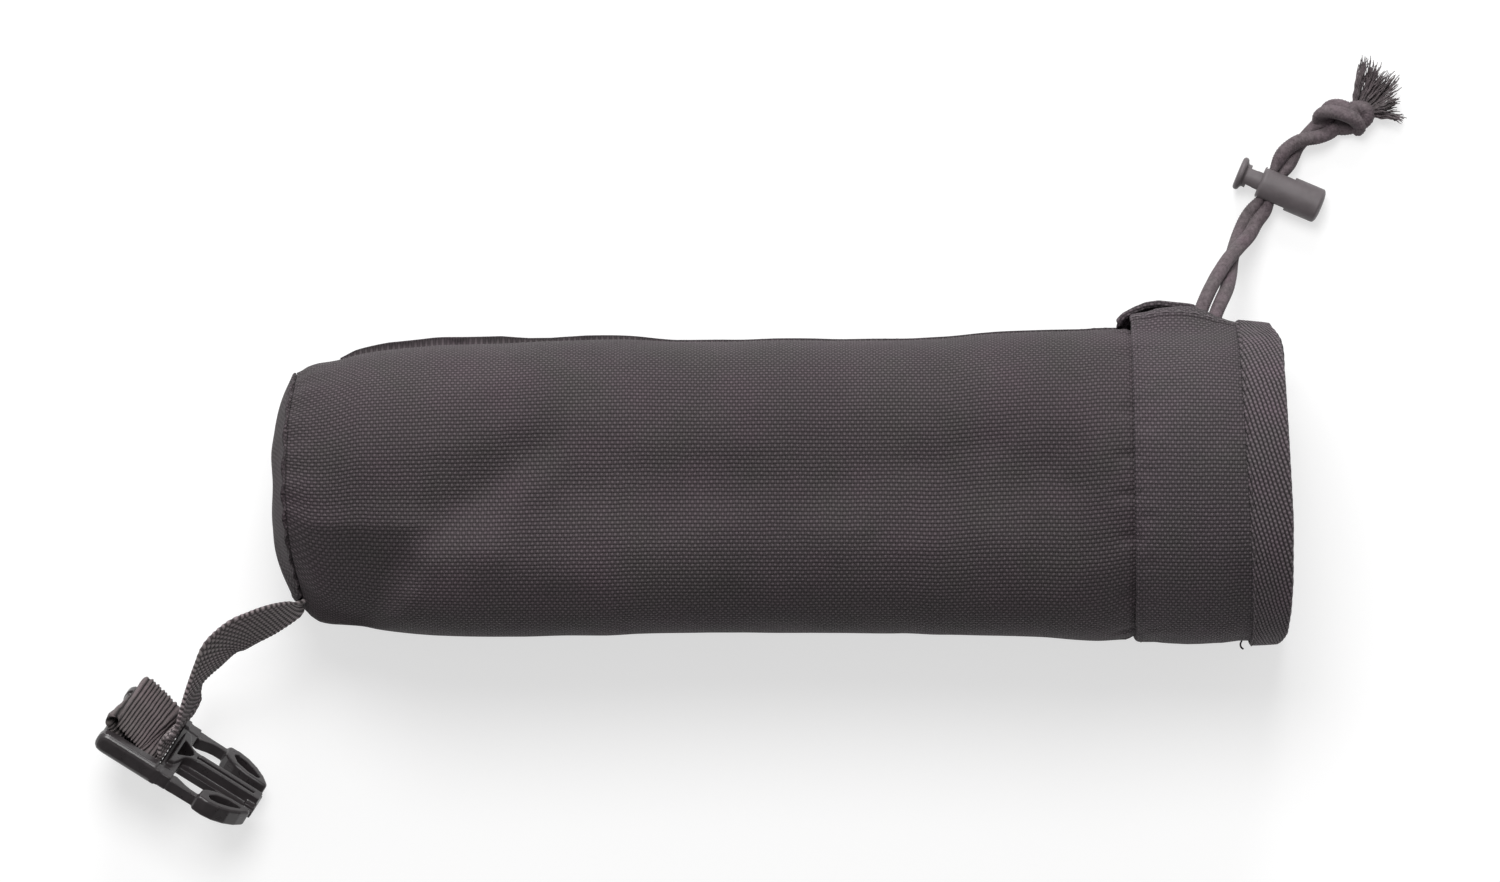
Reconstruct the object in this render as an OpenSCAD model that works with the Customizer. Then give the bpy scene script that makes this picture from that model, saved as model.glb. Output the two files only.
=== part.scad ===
// Rope storage bag: a canvas tube lying on its side, with a drawcord collar at
// the mouth, a sliding cord lock and a webbing tab with a side-release plug.
// The bag's axis runs along +X towards the mouth, +Z is up, and the origin is
// on the flat that the bag rests on, under the middle of the tube.

/* [Bag body] */
// Radius of the canvas tube
bag_r = 42; // [40:0.5:43]
// Thickness of the canvas
wall = 1.2; // [1:0.1:1.4]
// Height of the tube's axis over the resting flat
axis_z = 41; // [40.5:0.1:41.5]
// Radius of the tube at the base seam
base_r = 35.5; // [35:0.25:36]
// How far the base panel bulges past its seam
base_bulge = 7.2; // [4:0.2:9]

/* [Mouth collar] */
// Radius of the body panel under the seam of the drawcord casing
collar_r = 44.5; // [44.5:0.1:45]
// Thickness of the casing canvas
casing_t = 1; // [0.8:0.1:1.1]
// Height of each folded hem over the casing
hem_t = 2; // [1.5:0.1:2.5]
// Thickness of the mouth binding tape
tape_t = 1; // [0.8:0.1:1.1]

/* [Cord] */
// Diameter of the drawcord
cord_d = 4; // [3.6:0.1:4.1]

/* [Cord lock] */
// Outside diameter of the barrel
lock_d = 10.1; // [10:0.1:10.2]
// Length of the barrel
lock_l = 19.2; // [18.5:0.1:20]
// Travel of the plunger
plunger_travel = 4; // [3:0.25:4.25]

/* [Webbing and buckle] */
// Width of the webbing
web_w = 25; // [24:0.5:25.4]
// Thickness of the webbing
web_t = 1.7; // [1.4:0.1:1.8]
// Width of the buckle over its side rails
buckle_w = 33; // [32.6:0.2:34]
// Thickness of the buckle's side rails
rail_t = 6.4; // [5.6:0.2:6.6]

/* [Hidden] */
$fn = 96;

canvas_c = [0.27, 0.25, 0.26];
tape_c = [0.36, 0.33, 0.34];
thread_c = [0.42, 0.40, 0.41];
cord_c = [0.34, 0.31, 0.32];
plastic_c = [0.22, 0.21, 0.21];

x_seam = -138;      // base seam plane
x_casing = 100.7;   // lower edge of the drawcord casing
x_tape = 131;       // lower edge of the mouth binding
x_edge = 143.5;     // cut edge of the canvas at the mouth
x_mouth = 144.7;    // folded edge of the binding
x_cord = 121;       // plane of the drawcord in its tunnel
far = 120;

// Outer radius of the body panel, as [x, r] from base to mouth.
body_prof = [
  [x_seam, base_r], [-132, base_r + 1.6], [-126, base_r + 2.9],
  [-118, base_r + 4.2], [-108, bag_r - 0.9], [-96, bag_r], [60, bag_r],
  [80, bag_r + 1.4], [92, collar_r - 0.2], [99, collar_r - 0.1],
  [104, collar_r - 0.1], [113, 41], [127.5, 41], [130.8, 43.7],
  [x_edge, 43.7]
];
casing_in = [
  [x_casing, collar_r], [104, collar_r], [107.5, 45.4], [128, 45.4],
  [131, 43.8], [x_edge, 43.8]
];
casing_out = [for (p = casing_in) [p[0], p[1] + casing_t]];

// Solid of revolution about the bag's axis from [x, r] points.
module rev(prof) {
  n = len(prof);
  translate([0, 0, axis_z]) rotate([0, 90, 0])
    rotate_extrude() polygon(concat(
      [[0, prof[0][0]]],
      [for (p = prof) [p[1], p[0]]],
      [[0, prof[n - 1][0]]]));
}

// Everything above z in a stretch of x.
module above(x0, x1, z) {
  translate([x0, -far, z]) cube([x1 - x0, 2 * far, 2 * far]);
}

// Ring about the bag's axis with a rectangular section.
module ring(x0, x1, r0, r1) {
  translate([x0, 0, axis_z]) rotate([0, 90, 0]) difference() {
    cylinder(r = r1, h = x1 - x0);
    translate([0, 0, -1]) cylinder(r = r0, h = x1 - x0 + 2);
  }
}

// Frame of the webbing's root, on the base seam.
root_p = [-136.8, -33.4, 36];
root_yaw = 30;
swing_p = [-140.6, -35.6, 36];

module root_box(grow, l) {
  translate(root_p) rotate([0, 0, root_yaw])
    translate([-4 - (l - 8), -web_t / 2 - grow, -web_w / 2 - grow])
      cube([l, web_t + 2 * grow, web_w + 2 * grow]);
}

module body_panel() color(canvas_c) difference() {
  intersection() {
    rev(body_prof);
    union() {
      above(x_seam - 1, x_casing, 0);
      above(x_casing - 1, 108, casing_t + 0.1);
      above(107, 128, casing_t + cord_d + 0.4);
      above(127, 129.5, casing_t + 0.1);
      above(129, x_edge + 1, casing_t + tape_t + 0.1);
    }
  }
  intersection() {
    rev([for (p = concat([[x_seam - 1, base_r]], body_prof,
                         [[x_edge + 1, 43.7]])) [p[0], p[1] - wall]]);
    union() {
      above(x_seam - 2, 99.5, wall);
      above(98.5, 106.8, casing_t + 0.1 + wall);
      above(105.8, 129.2, casing_t + cord_d + 0.4 + wall);
      above(128.2, x_edge + 3, casing_t + tape_t + 0.1 + wall);
    }
  }
  root_box(0.1, 12);
}

module side_seam_thread() color(thread_c) intersection() {
  ring(-95, 60, bag_r, bag_r + 0.4);
  translate([-100, 0, axis_z - 2.6]) cube([200, 60, 0.5]);
}

base_out = [
  [x_seam - base_bulge, 0.01], [x_seam - base_bulge, 12],
  [x_seam - base_bulge + 1.7, 24], [x_seam - 3, 31],
  [x_seam - 0.8, 34.4], [x_seam, base_r]
];

module base_panel() color(canvas_c) difference() {
  rev(base_out);
  rev([[x_seam - base_bulge + wall, 0.01], [x_seam - base_bulge + wall, 11.6],
       [x_seam - base_bulge + 1.7 + wall, 23.5], [x_seam - 2, 29.8],
       [x_seam - 0.3, base_r - 2.4], [x_seam + 1, base_r - 2.4]]);
  root_box(0.1, 12);
  translate([0.5, -0.9, 0]) root_box(0.1, 12);
}

module base_seam_binding() color(tape_c) difference() {
  ring(x_seam, x_seam + 8, base_r - 2.4, base_r - wall);
  root_box(0.6, 12);
}

module base_seam_thread() color(thread_c) difference() {
  ring(x_seam + 6, x_seam + 6.5, base_r - 2.8, base_r - 2.4);
  root_box(0.1, 12);
}

// Opening of the casing where the drawcord comes out.
module cord_mouth() {
  translate([x_cord, 30, axis_z]) rotate([-90, 0, 0])
    cylinder(r = 5.2, h = 40);
}

module drawcord_casing() color(canvas_c) difference() {
  intersection() {
    rev(casing_out);
    union() {
      above(x_casing - 1, x_tape, 0);
      above(x_tape - 1, x_edge + 1, tape_t);
    }
  }
  intersection() {
    rev(concat([[x_casing - 1, collar_r]], casing_in, [[x_edge + 1, 43.8]]));
    union() {
      above(x_casing - 2, 129.8, casing_t);
      above(128.8, x_edge + 2, tape_t + casing_t);
    }
  }
  translate([x_casing - 1, 30, axis_z - 1.5]) cube([60, 30, 3]);
  cord_mouth();
}

module hem(z0) color(canvas_c) difference() {
  intersection() {
    ring(107.5, 128, 45.4 + casing_t, 45.4 + casing_t + hem_t);
    translate([100, 30, z0]) cube([40, 30, 8]);
  }
  cord_mouth();
}
module casing_hem_upper() hem(axis_z + 1.5);
module casing_hem_lower() hem(axis_z - 9.5);

module casing_seam_thread() color(thread_c) intersection() {
  ring(102, 102.5, collar_r + casing_t, collar_r + casing_t + 0.4);
  above(90, 140, 0);
  difference() {
    translate([90, -far, 0]) cube([40, 2 * far, 2 * far]);
    translate([90, 20, axis_z - 2]) cube([40, far, 4]);
  }
}

module hem_thread(z0) intersection() {
  ring(108.5, 127, 45.4 + casing_t + hem_t, 45.8 + casing_t + hem_t);
  translate([100, 30, z0]) cube([40, 30, 0.5]);
}
module casing_hem_thread() color(thread_c) {
  hem_thread(axis_z + 7.5);
  hem_thread(axis_z - 8);
}

module mouth_binding() color(tape_c) difference() {
  intersection() {
    rev([[x_tape, 44.8 + tape_t], [x_mouth, 44.8 + tape_t]]);
    above(x_tape - 1, x_mouth + 1, 0);
  }
  // room for the canvas between the tape's two legs
  intersection() {
    difference() {
      rev([[x_tape - 1, 44.8], [x_edge, 44.8]]);
      rev([[x_tape - 2, 43.6 - wall], [x_edge + 1, 43.6 - wall]]);
    }
    above(x_tape - 2, x_edge, tape_t);
  }
  intersection() {
    difference() {
      rev([[x_tape - 1, 44.8], [x_edge, 44.8]]);
      above(x_tape - 2, x_mouth + 2, tape_t + casing_t + wall + 0.2);
    }
    above(x_tape - 2, x_edge, tape_t);
  }
  // the mouth itself
  intersection() {
    rev([[x_tape - 1, 43.6 - wall - tape_t],
         [x_mouth + 1, 43.6 - wall - tape_t]]);
    above(x_tape - 2, x_mouth + 2, 2 * tape_t + casing_t + wall + 0.2);
  }
}

module binding_thread() color(thread_c) intersection() {
  ring(133, 133.5, 44.8 + tape_t, 45.2 + tape_t);
  above(120, 150, 0);
}

// ---- cord routes ----
function unit(v) = v / norm(v);
function tan_at(p, i) = let (n = len(p))
  unit(p[min(i + 1, n - 1)] - p[max(i - 1, 0)]);

// One closed tube with a ring of k sides at every point of the route.
module tube(p, r, k, ref) {
  n = len(p);
  pts = [for (i = [0:n - 1]) let (
      t = tan_at(p, i), a = unit(cross(t, ref)), b = cross(t, a))
    for (j = [0:k - 1]) p[i] + r * (cos(360 * j / k) * a
                                  + sin(360 * j / k) * b)];
  polyhedron(points = pts, faces = concat(
    [[for (j = [0:k - 1]) j]],
    [for (i = [0:n - 2]) for (j = [0:k - 1]) let (m = (j + 1) % k)
      [i * k + j, (i + 1) * k + j, (i + 1) * k + m, i * k + m]],
    [[for (j = [k - 1:-1:0]) (n - 1) * k + j]]), convexity = 10);
}

lock_p = [137.3, 87.4, lock_d / 2];   // middle of the barrel's open rim
lock_yaw = -22.9;
e1 = [cos(lock_yaw), sin(lock_yaw), 0];
p1 = [-sin(lock_yaw), cos(lock_yaw), 0];
pair_t = 4.95;                        // pair's place along the barrel
pair_h = cord_d / 2 + 0.1;            // half the distance between the strands
function lane(s) = lock_p + pair_t * e1 + s * p1;

// Middle line of the two strands from the casing to the knot.
pair_route = [
  [121, 46, 41], [121.8, 51.2, 40], [124, 55.2, 35], [126.6, 58.2, 27.8],
  [129, 61, 20.4], [131.2, 63.6, 13], [133.2, 66.2, 7.4],
  lane(-16), lane(-8), lane(0), lane(8), lane(16),
  [152.2, 104.3, 4.9], [157, 106, 4.8]
];
// Turn of the pair about its middle line at each point.
pair_turn = [-90, -75, -50, -25, -8, 0, 0, 0, 0, 0, 0, 0, 0, 0];
function strand(side) = [for (i = [0:len(pair_route) - 1]) let (
    t = tan_at(pair_route, i), a = unit(cross(t, [0, 0, 1])),
    b = cross(a, t), f = pair_turn[i])
  pair_route[i] + side * pair_h * (cos(f) * a + sin(f) * b)];

function loop_pt(f) = [x_cord, 43.3 * cos(f),
                       max(3.3, axis_z + 43.3 * sin(f))];
loop_route = concat(
  [[x_cord, 46, axis_z + pair_h], [x_cord, 43.6, axis_z + 4.3]],
  [for (k = [0:31]) loop_pt(10 + k * 340 / 31)],
  [[x_cord, 43.6, axis_z - 4.3], [x_cord, 46, axis_z - pair_h]]);

module drawcord_loop() color(cord_c) tube(loop_route, cord_d / 2, 8, [1, 0, 0]);
module drawcord_strand_a() color(cord_c)
  tube(strand(-1), cord_d / 2, 10, [1, -0.3, 0.15]);
module drawcord_strand_b() color(cord_c)
  tube(strand(1), cord_d / 2, 10, [1, -0.3, 0.15]);

knot_a = [158.5, 106.5, 4.75];
knot_b = [165.5, 105.2, 4.75];
module drawcord_knot() color(cord_c) {
  d = knot_b - knot_a;
  h = norm(d);
  translate(knot_a) rotate([0, 90, atan2(d[1], d[0])])
    rotate_extrude() polygon(concat(
      [for (a = [-90:15:0]) [4.7 * cos(a), 4.7 * sin(a)]],
      [for (a = [0:15:90]) [4.7 * cos(a), h + 4.7 * sin(a)]]));
}

module drawcord_tassel() color(cord_c) difference() {
  translate([168.2, 106.2, 4.75]) rotate([0, 90, 38])
    cylinder(r1 = 2.4, r2 = 4.6, h = 12.5);
  translate(knot_b) sphere(r = 4.72);
}

// ---- cord lock, in its own frame: +X along the barrel from its rim ----
module lock_frame() translate(lock_p) rotate([0, 0, lock_yaw]) children();
bore_r = 3.9;
plunger_r = 3.7;
hole_t0 = pair_t - pair_h - cord_d / 2 - 0.25;
hole_t1 = pair_t + pair_h + cord_d / 2 + 0.25;
hole_h = cord_d + 0.6;

module cross_slot(t0, t1, h) {
  translate([t0, -10, -h / 2]) cube([t1 - t0, 20, h]);
}

module cord_lock_barrel() color(plastic_c) lock_frame() difference() {
  rotate([0, 90, 0]) rotate_extrude() polygon([
    [0, 0], [lock_d / 2 - 1, 0], [lock_d / 2 - 0.3, 0.4],
    [lock_d / 2, 1.2], [lock_d / 2, lock_l - 0.9],
    [lock_d / 2 - 0.6, lock_l - 0.3], [0, lock_l]]);
  translate([-1, 0, 0]) rotate([0, 90, 0])
    cylinder(r = bore_r, h = lock_l - 0.6);
  cross_slot(hole_t0, hole_t1, hole_h);
}

module cord_lock_plunger() color(plastic_c) lock_frame() difference() {
  union() {
    translate([-6.8, 0, 0]) rotate([0, 90, 0])
      cylinder(r = lock_d / 2 - 0.2, h = 2);
    translate([-5, 0, 0]) rotate([0, 90, 0])
      cylinder(r = plunger_r, h = 16.6);
  }
  cross_slot(hole_t0 - plunger_travel - 0.1, hole_t1 - 0.05, hole_h);
}

// Coil spring between the plunger's end and the barrel's closed end.
module cord_lock_spring() color("silver") lock_frame()
  tube([for (k = [0:56]) [12.05 + 5.15 * k / 56, 2.6 * cos(k * 360 / 14),
                          2.6 * sin(k * 360 / 14)]], 0.35, 8, [1, 0, 0]);

// ---- webbing ----
// Route of the strap's middle line and the direction of its width.
bk_p = [-174.8, -76.2, 16];
bk_yaw = -32;
bk_roll = -59.5;
module buckle_frame_at() translate(bk_p) rotate([0, 0, bk_yaw])
  rotate([bk_roll, 0, 0]) children();
bu = [cos(bk_yaw), sin(bk_yaw), 0];
bn = [-sin(bk_roll) * -sin(bk_yaw), -sin(bk_roll) * cos(bk_yaw),
      cos(bk_roll)];
bv = cross(bn, bu);
slot_u = -1.9;
function at_slot(n) = bk_p + slot_u * bu + n * bn;

strap_route = [
  [-141, -35.9, 36], [-145, -38, 36], [-149, -39.8, 35.9],
  [-153, -41.6, 35.6], [-157, -43.9, 35], [-160.5, -46.8, 34],
  [-163.4, -50, 32.6], [-165.7, -53.6, 30.8], [-167.4, -57.4, 28.6],
  at_slot(18), at_slot(13), at_slot(8.5), at_slot(4.6)
];
strap_width = [
  [0, 0, 1], [-0.06, 0.14, 0.99], [-0.13, 0.27, 0.95],
  [-0.17, 0.34, 0.92], [-0.22, 0.34, 0.92], [-0.25, 0.3, 0.92],
  [-0.27, 0.2, 0.94], [-0.28, 0.06, 0.96], [-0.28, -0.1, 0.95],
  [-0.28, -0.25, 0.93], -1 * bv, -1 * bv, -1 * bv
];

module ribbon(p, wdir, w, t) {
  n = len(p);
  pts = [for (i = [0:n - 1]) let (
      tn = tan_at(p, i), nn = unit(cross(tn, wdir[i])), ww = cross(nn, tn))
    each [p[i] + ww * w / 2 + nn * t / 2, p[i] - ww * w / 2 + nn * t / 2,
          p[i] - ww * w / 2 - nn * t / 2, p[i] + ww * w / 2 - nn * t / 2]];
  polyhedron(points = pts, faces = concat(
    [[0, 1, 2], [0, 2, 3]],
    [for (i = [0:n - 2]) for (j = [0:3]) let (m = (j + 1) % 4)
      each [[i * 4 + j, (i + 1) * 4 + j, (i + 1) * 4 + m],
            [i * 4 + j, (i + 1) * 4 + m, i * 4 + m]]],
    [[4 * n - 4, 4 * n - 2, 4 * n - 3], [4 * n - 4, 4 * n - 1, 4 * n - 2]]),
    convexity = 10);
}

module strap_anchor() color(tape_c) root_box(0, 8);

// Box tack of thread that holds the webbing's end in the seam.
module strap_bartack() color(thread_c)
  for (z = [-9, -3, 3, 9]) translate(root_p) rotate([0, 0, root_yaw])
    translate([2, web_t / 2, z - 0.25]) cube([1.8, 0.4, 0.5]);

module carry_strap() color(tape_c) ribbon(strap_route, strap_width, web_w, web_t);

// Section of the webbing round the buckle's bars, in the buckle's u-n plane.
wrap_line = [
  [-1.9, 3.8], [-1.9, -1.2], [-3, -2.65], [-8.2, -2.85], [-9.3, -1.4],
  [-9.4, 1.2], [-10.8, 2.9], [-14.4, 4.55], [-18.1, 6.13], [-18.95, 6.54],
  [-19.36, 7.3], [-19, 8.12], [-18.1, 8.43], [-14, 7], [-10, 5.6],
  [-7.4, 4.6], [-5.6, 3.6], [-4.4, 2.6], [-3.8, 1.3], [-3.78, -0.3]
];
function tan2(p, i) = let (n = len(p),
  d = p[min(i + 1, n - 1)] - p[max(i - 1, 0)]) d / norm(d);
function side2(p, o) = [for (i = [0:len(p) - 1]) let (t = tan2(p, i))
  p[i] + o * [-t[1], t[0]]];
function rev_list(p) = [for (i = [len(p) - 1:-1:0]) p[i]];

module along_v(w) rotate([90, 0, 0]) translate([0, 0, -w / 2])
  linear_extrude(height = w) children();

module strap_wrap() color(tape_c) buckle_frame_at() along_v(web_w)
  polygon(concat(side2(wrap_line, web_t / 2),
                 rev_list(side2(wrap_line, -web_t / 2))));

// Rows of thread across the folded tail.
module strap_tail_thread() color(thread_c) buckle_frame_at()
  for (k = [0:4]) {
    c = [-11.4, 6.09] + k * [-1.2, 0.42];
    translate([c[0], -web_w / 2 + 1.5, c[1]]) rotate([0, -70.7, 0])
      translate([web_t / 2 + 0.05, 0, -0.25]) cube([0.4, web_w - 3, 0.5]);
  }

// ---- plug half of the side-release buckle, +X towards the prongs ----
rail_w = (buckle_w - web_w - 0.8) / 2;
rail_v = buckle_w / 2;

module rail(s) {
  mirror([0, s < 0 ? 1 : 0, 0]) {
    translate([-20 + rail_t / 2, rail_v - rail_w, -rail_t / 2])
      cube([19 - rail_t / 2, rail_w, rail_t]);
    translate([-20 + rail_t / 2, rail_v, 0]) rotate([90, 0, 0])
      cylinder(r = rail_t / 2, h = rail_w);
    translate([-1.5, rail_v - rail_w, -2.2]) cube([5.5, rail_w - 0.4, 4.4]);
  }
}

module buckle_frame() color(plastic_c) buckle_frame_at() {
  rail(1);
  rail(-1);
  iw = buckle_w - 2 * rail_w + 0.4;
  translate([-19.6, -iw / 2, -1.5]) cube([4.4, iw, 3]);     // end bar
  translate([-7.7, -iw / 2, -1.4]) cube([2.7, iw, 2.8]);    // middle bar
  translate([-0.2, -iw / 2, -1.7]) cube([4.2, iw, 3.4]);    // root bar
  // guide tongue: a flat web with a double rib on it and a slot between
  difference() {
    union() {
      translate([3.5, -5.2, -2.3]) cube([25.5, 10.4, 2.3]);
      translate([3.5, -2.2, -0.2]) cube([25.5, 4.4, 3.5]);
    }
    translate([9.5, -0.6, -0.6]) cube([17.5, 1.2, 5]);
  }
}

// One springy arm with its arrow head, for the side v > 0.
module prong() difference() {
  union() {
    translate([4.3, 0, -2.2]) linear_extrude(height = 3.4) polygon([
      [0, 12.2], [0, 15.9], [4.5, 15.6], [9.4, 15.5], [9.4, 13.6],
      [6, 13.6], [3, 12.9]]);
    translate([13.4, 0, -3]) linear_extrude(height = 6) polygon([
      [0, 11.6], [0, 16.2], [3, 16.3], [7, 15.4], [10.5, 13.6], [13.4, 11],
      [15, 8.6], [14.4, 7.6], [9, 8], [4, 9]]);
  }
  // teardrop window in the head
  translate([13.4, 0, -4]) linear_extrude(height = 8) polygon([
    [2.2, 13.2], [4.8, 13.4], [8.8, 11.8], [11.4, 9.8], [5, 10.4]]);
}
module buckle_prong_left() color(plastic_c) buckle_frame_at()
  mirror([0, 1, 0]) prong();
module buckle_prong_right() color(plastic_c) buckle_frame_at() prong();

body_panel();
side_seam_thread();
base_panel();
base_seam_binding();
base_seam_thread();
drawcord_casing();
casing_hem_upper();
casing_hem_lower();
casing_seam_thread();
casing_hem_thread();
mouth_binding();
binding_thread();
drawcord_loop();
drawcord_strand_a();
drawcord_strand_b();
drawcord_knot();
drawcord_tassel();
cord_lock_barrel();
cord_lock_plunger();
cord_lock_spring();
strap_anchor();
strap_bartack();
carry_strap();
strap_wrap();
strap_tail_thread();
buckle_frame();
buckle_prong_left();
buckle_prong_right();
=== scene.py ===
import bpy, bmesh, math
import numpy as np
from mathutils import Vector, Matrix


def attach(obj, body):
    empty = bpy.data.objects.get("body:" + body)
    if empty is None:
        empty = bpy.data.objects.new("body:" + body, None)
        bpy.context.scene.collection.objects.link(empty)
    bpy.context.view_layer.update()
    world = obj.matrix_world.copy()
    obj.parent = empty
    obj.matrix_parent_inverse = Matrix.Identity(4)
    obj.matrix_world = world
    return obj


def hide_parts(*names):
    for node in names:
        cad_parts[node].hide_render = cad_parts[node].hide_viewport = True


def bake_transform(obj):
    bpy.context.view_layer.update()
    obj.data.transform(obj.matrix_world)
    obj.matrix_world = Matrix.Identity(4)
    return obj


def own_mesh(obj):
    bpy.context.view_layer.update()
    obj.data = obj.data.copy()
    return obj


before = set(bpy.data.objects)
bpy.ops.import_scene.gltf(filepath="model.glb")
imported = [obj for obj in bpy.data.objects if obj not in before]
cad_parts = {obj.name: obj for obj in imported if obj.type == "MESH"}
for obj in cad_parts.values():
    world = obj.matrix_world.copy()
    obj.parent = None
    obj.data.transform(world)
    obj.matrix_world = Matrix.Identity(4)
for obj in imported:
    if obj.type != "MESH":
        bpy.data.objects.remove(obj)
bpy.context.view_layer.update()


sc = bpy.context.scene
sc.view_settings.view_transform = "Standard"
MM = 0.001

# ------------------------------------------------------------------ camera
# Straight above the bag, 8 m away on a long lens, so the view is all but parallel.
FRAME_W = 0.428571
cam_data = bpy.data.cameras.new("camera")
cam_data.type = "PERSP"
cam_data.sensor_width = 36.0
cam_data.lens = 36.0 * 8.0 / FRAME_W
cam_data.clip_start, cam_data.clip_end = 0.1, 50.0
cam = bpy.data.objects.new("camera", cam_data)
cam.location = (-0.0090, 0.01286, 8.041)
sc.collection.objects.link(cam)
sc.camera = cam


# ------------------------------------------------------------------ helpers
def unit(v):
    v = np.asarray(v, float)
    return v / np.maximum(np.linalg.norm(v, axis=-1, keepdims=True), 1e-12)


def smooth01(t):
    t = np.clip(t, 0.0, 1.0)
    return t * t * (3 - 2 * t)


def lerp_tab(x, xs, ys):
    """Monotone cubic through a short table."""
    x, xs, ys = np.asarray(x, float), np.asarray(xs, float), np.asarray(ys, float)
    h = np.diff(xs)
    d = np.diff(ys) / h
    m = np.zeros_like(ys)
    m[1:-1] = np.where(d[:-1] * d[1:] > 0, 2 * d[:-1] * d[1:] / (d[:-1] + d[1:] + 1e-12), 0)
    m[0], m[-1] = d[0], d[-1]
    i = np.clip(np.searchsorted(xs, x) - 1, 0, len(xs) - 2)
    t = np.clip((x - xs[i]) / h[i], 0, 1)
    a = 2 * t**3 - 3 * t**2 + 1
    b = t**3 - 2 * t**2 + t
    c = -2 * t**3 + 3 * t**2
    e = t**3 - t**2
    return a * ys[i] + b * h[i] * m[i] + c * ys[i + 1] + e * h[i] * m[i + 1]


def vnoise(p, seed=0):
    """Smooth value noise in 3 dimensions, from -1 to 1, the same on every run."""
    p = np.asarray(p, float)
    i = np.floor(p).astype(np.int64)
    f = p - i
    f = f * f * (3 - 2 * f)

    def h(ix, iy, iz):
        n = (ix * 374761393 + iy * 668265263 + iz * 2147483647 + seed * 1274126177) & 0xFFFFFFFF
        n = ((n ^ (n >> 13)) * 1274126177) & 0xFFFFFFFF
        n = n ^ (n >> 16)
        return (n & 0xFFFF) / 32767.5 - 1.0

    out = 0
    for dx in (0, 1):
        for dy in (0, 1):
            for dz in (0, 1):
                w = (np.where(dx, f[..., 0], 1 - f[..., 0]) * np.where(dy, f[..., 1], 1 - f[..., 1])
                     * np.where(dz, f[..., 2], 1 - f[..., 2]))
                out = out + w * h(i[..., 0] + dx, i[..., 1] + dy, i[..., 2] + dz)
    return out


def make_mesh(name, co, quads, uv=None, tris=None, smooth=True, scale=MM):
    """Mesh object from millimetre points, quads and optional per-corner UVs (in mm)."""
    co = np.asarray(co, float).reshape(-1, 3) * scale
    quads = np.asarray(quads, np.int64).reshape(-1, 4)
    tris = np.zeros((0, 3), np.int64) if tris is None else np.asarray(tris, np.int64).reshape(-1, 3)
    me = bpy.data.meshes.new(name)
    me.vertices.add(len(co))
    me.vertices.foreach_set("co", co.astype(np.float32).ravel())
    loops = np.concatenate([quads.ravel(), tris.ravel()])
    me.loops.add(len(loops))
    me.loops.foreach_set("vertex_index", loops.astype(np.int32))
    n = len(quads) + len(tris)
    me.polygons.add(n)
    starts = np.concatenate([np.arange(len(quads)) * 4, len(quads) * 4 + np.arange(len(tris)) * 3])
    me.polygons.foreach_set("loop_start", starts.astype(np.int32))
    me.polygons.foreach_set("use_smooth", np.full(n, smooth))
    if uv is not None:
        layer = me.uv_layers.new(name="UVMap")
        layer.data.foreach_set("uv", np.asarray(uv, np.float32).ravel())
    me.update(calc_edges=True)
    me.validate()
    ob = bpy.data.objects.new(name, me)
    sc.collection.objects.link(ob)
    return ob


def grid_quads(nu, nv, wrap_v, base=0, flip=False):
    i, j = np.meshgrid(np.arange(nu - 1), np.arange(nv if wrap_v else nv - 1), indexing="ij")
    i, j = i.ravel(), j.ravel()
    k = (j + 1) % nv
    q = np.stack([i * nv + j, i * nv + k, (i + 1) * nv + k, (i + 1) * nv + j], 1) + base
    return q[:, ::-1] if flip else q


def grid_uv(u, v, wrap_v, vend=None, flip=False):
    """Per-corner UVs for grid_quads. u, v: (nu, nv); vend: (nu,) value of v at the wrap."""
    nu, nv = u.shape
    if wrap_v:
        u = np.concatenate([u, u[:, :1]], 1)
        v = np.concatenate([v, np.asarray(vend).reshape(-1, 1)], 1)
        nv += 1
    i, j = np.meshgrid(np.arange(nu - 1), np.arange(nv - 1), indexing="ij")
    i, j = i.ravel(), j.ravel()
    c = [(i, j), (i, j + 1), (i + 1, j + 1), (i + 1, j)]
    if flip:
        c = c[::-1]
    return np.stack([np.stack([u[a, b], v[a, b]], -1) for a, b in c], 1)


def grid_normals(P, wrap_v):
    du = np.gradient(P, axis=0)
    if wrap_v:
        dv = np.roll(P, -1, 1) - np.roll(P, 1, 1)
    else:
        dv = np.gradient(P, axis=1)
    return unit(np.cross(dv, du))


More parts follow.
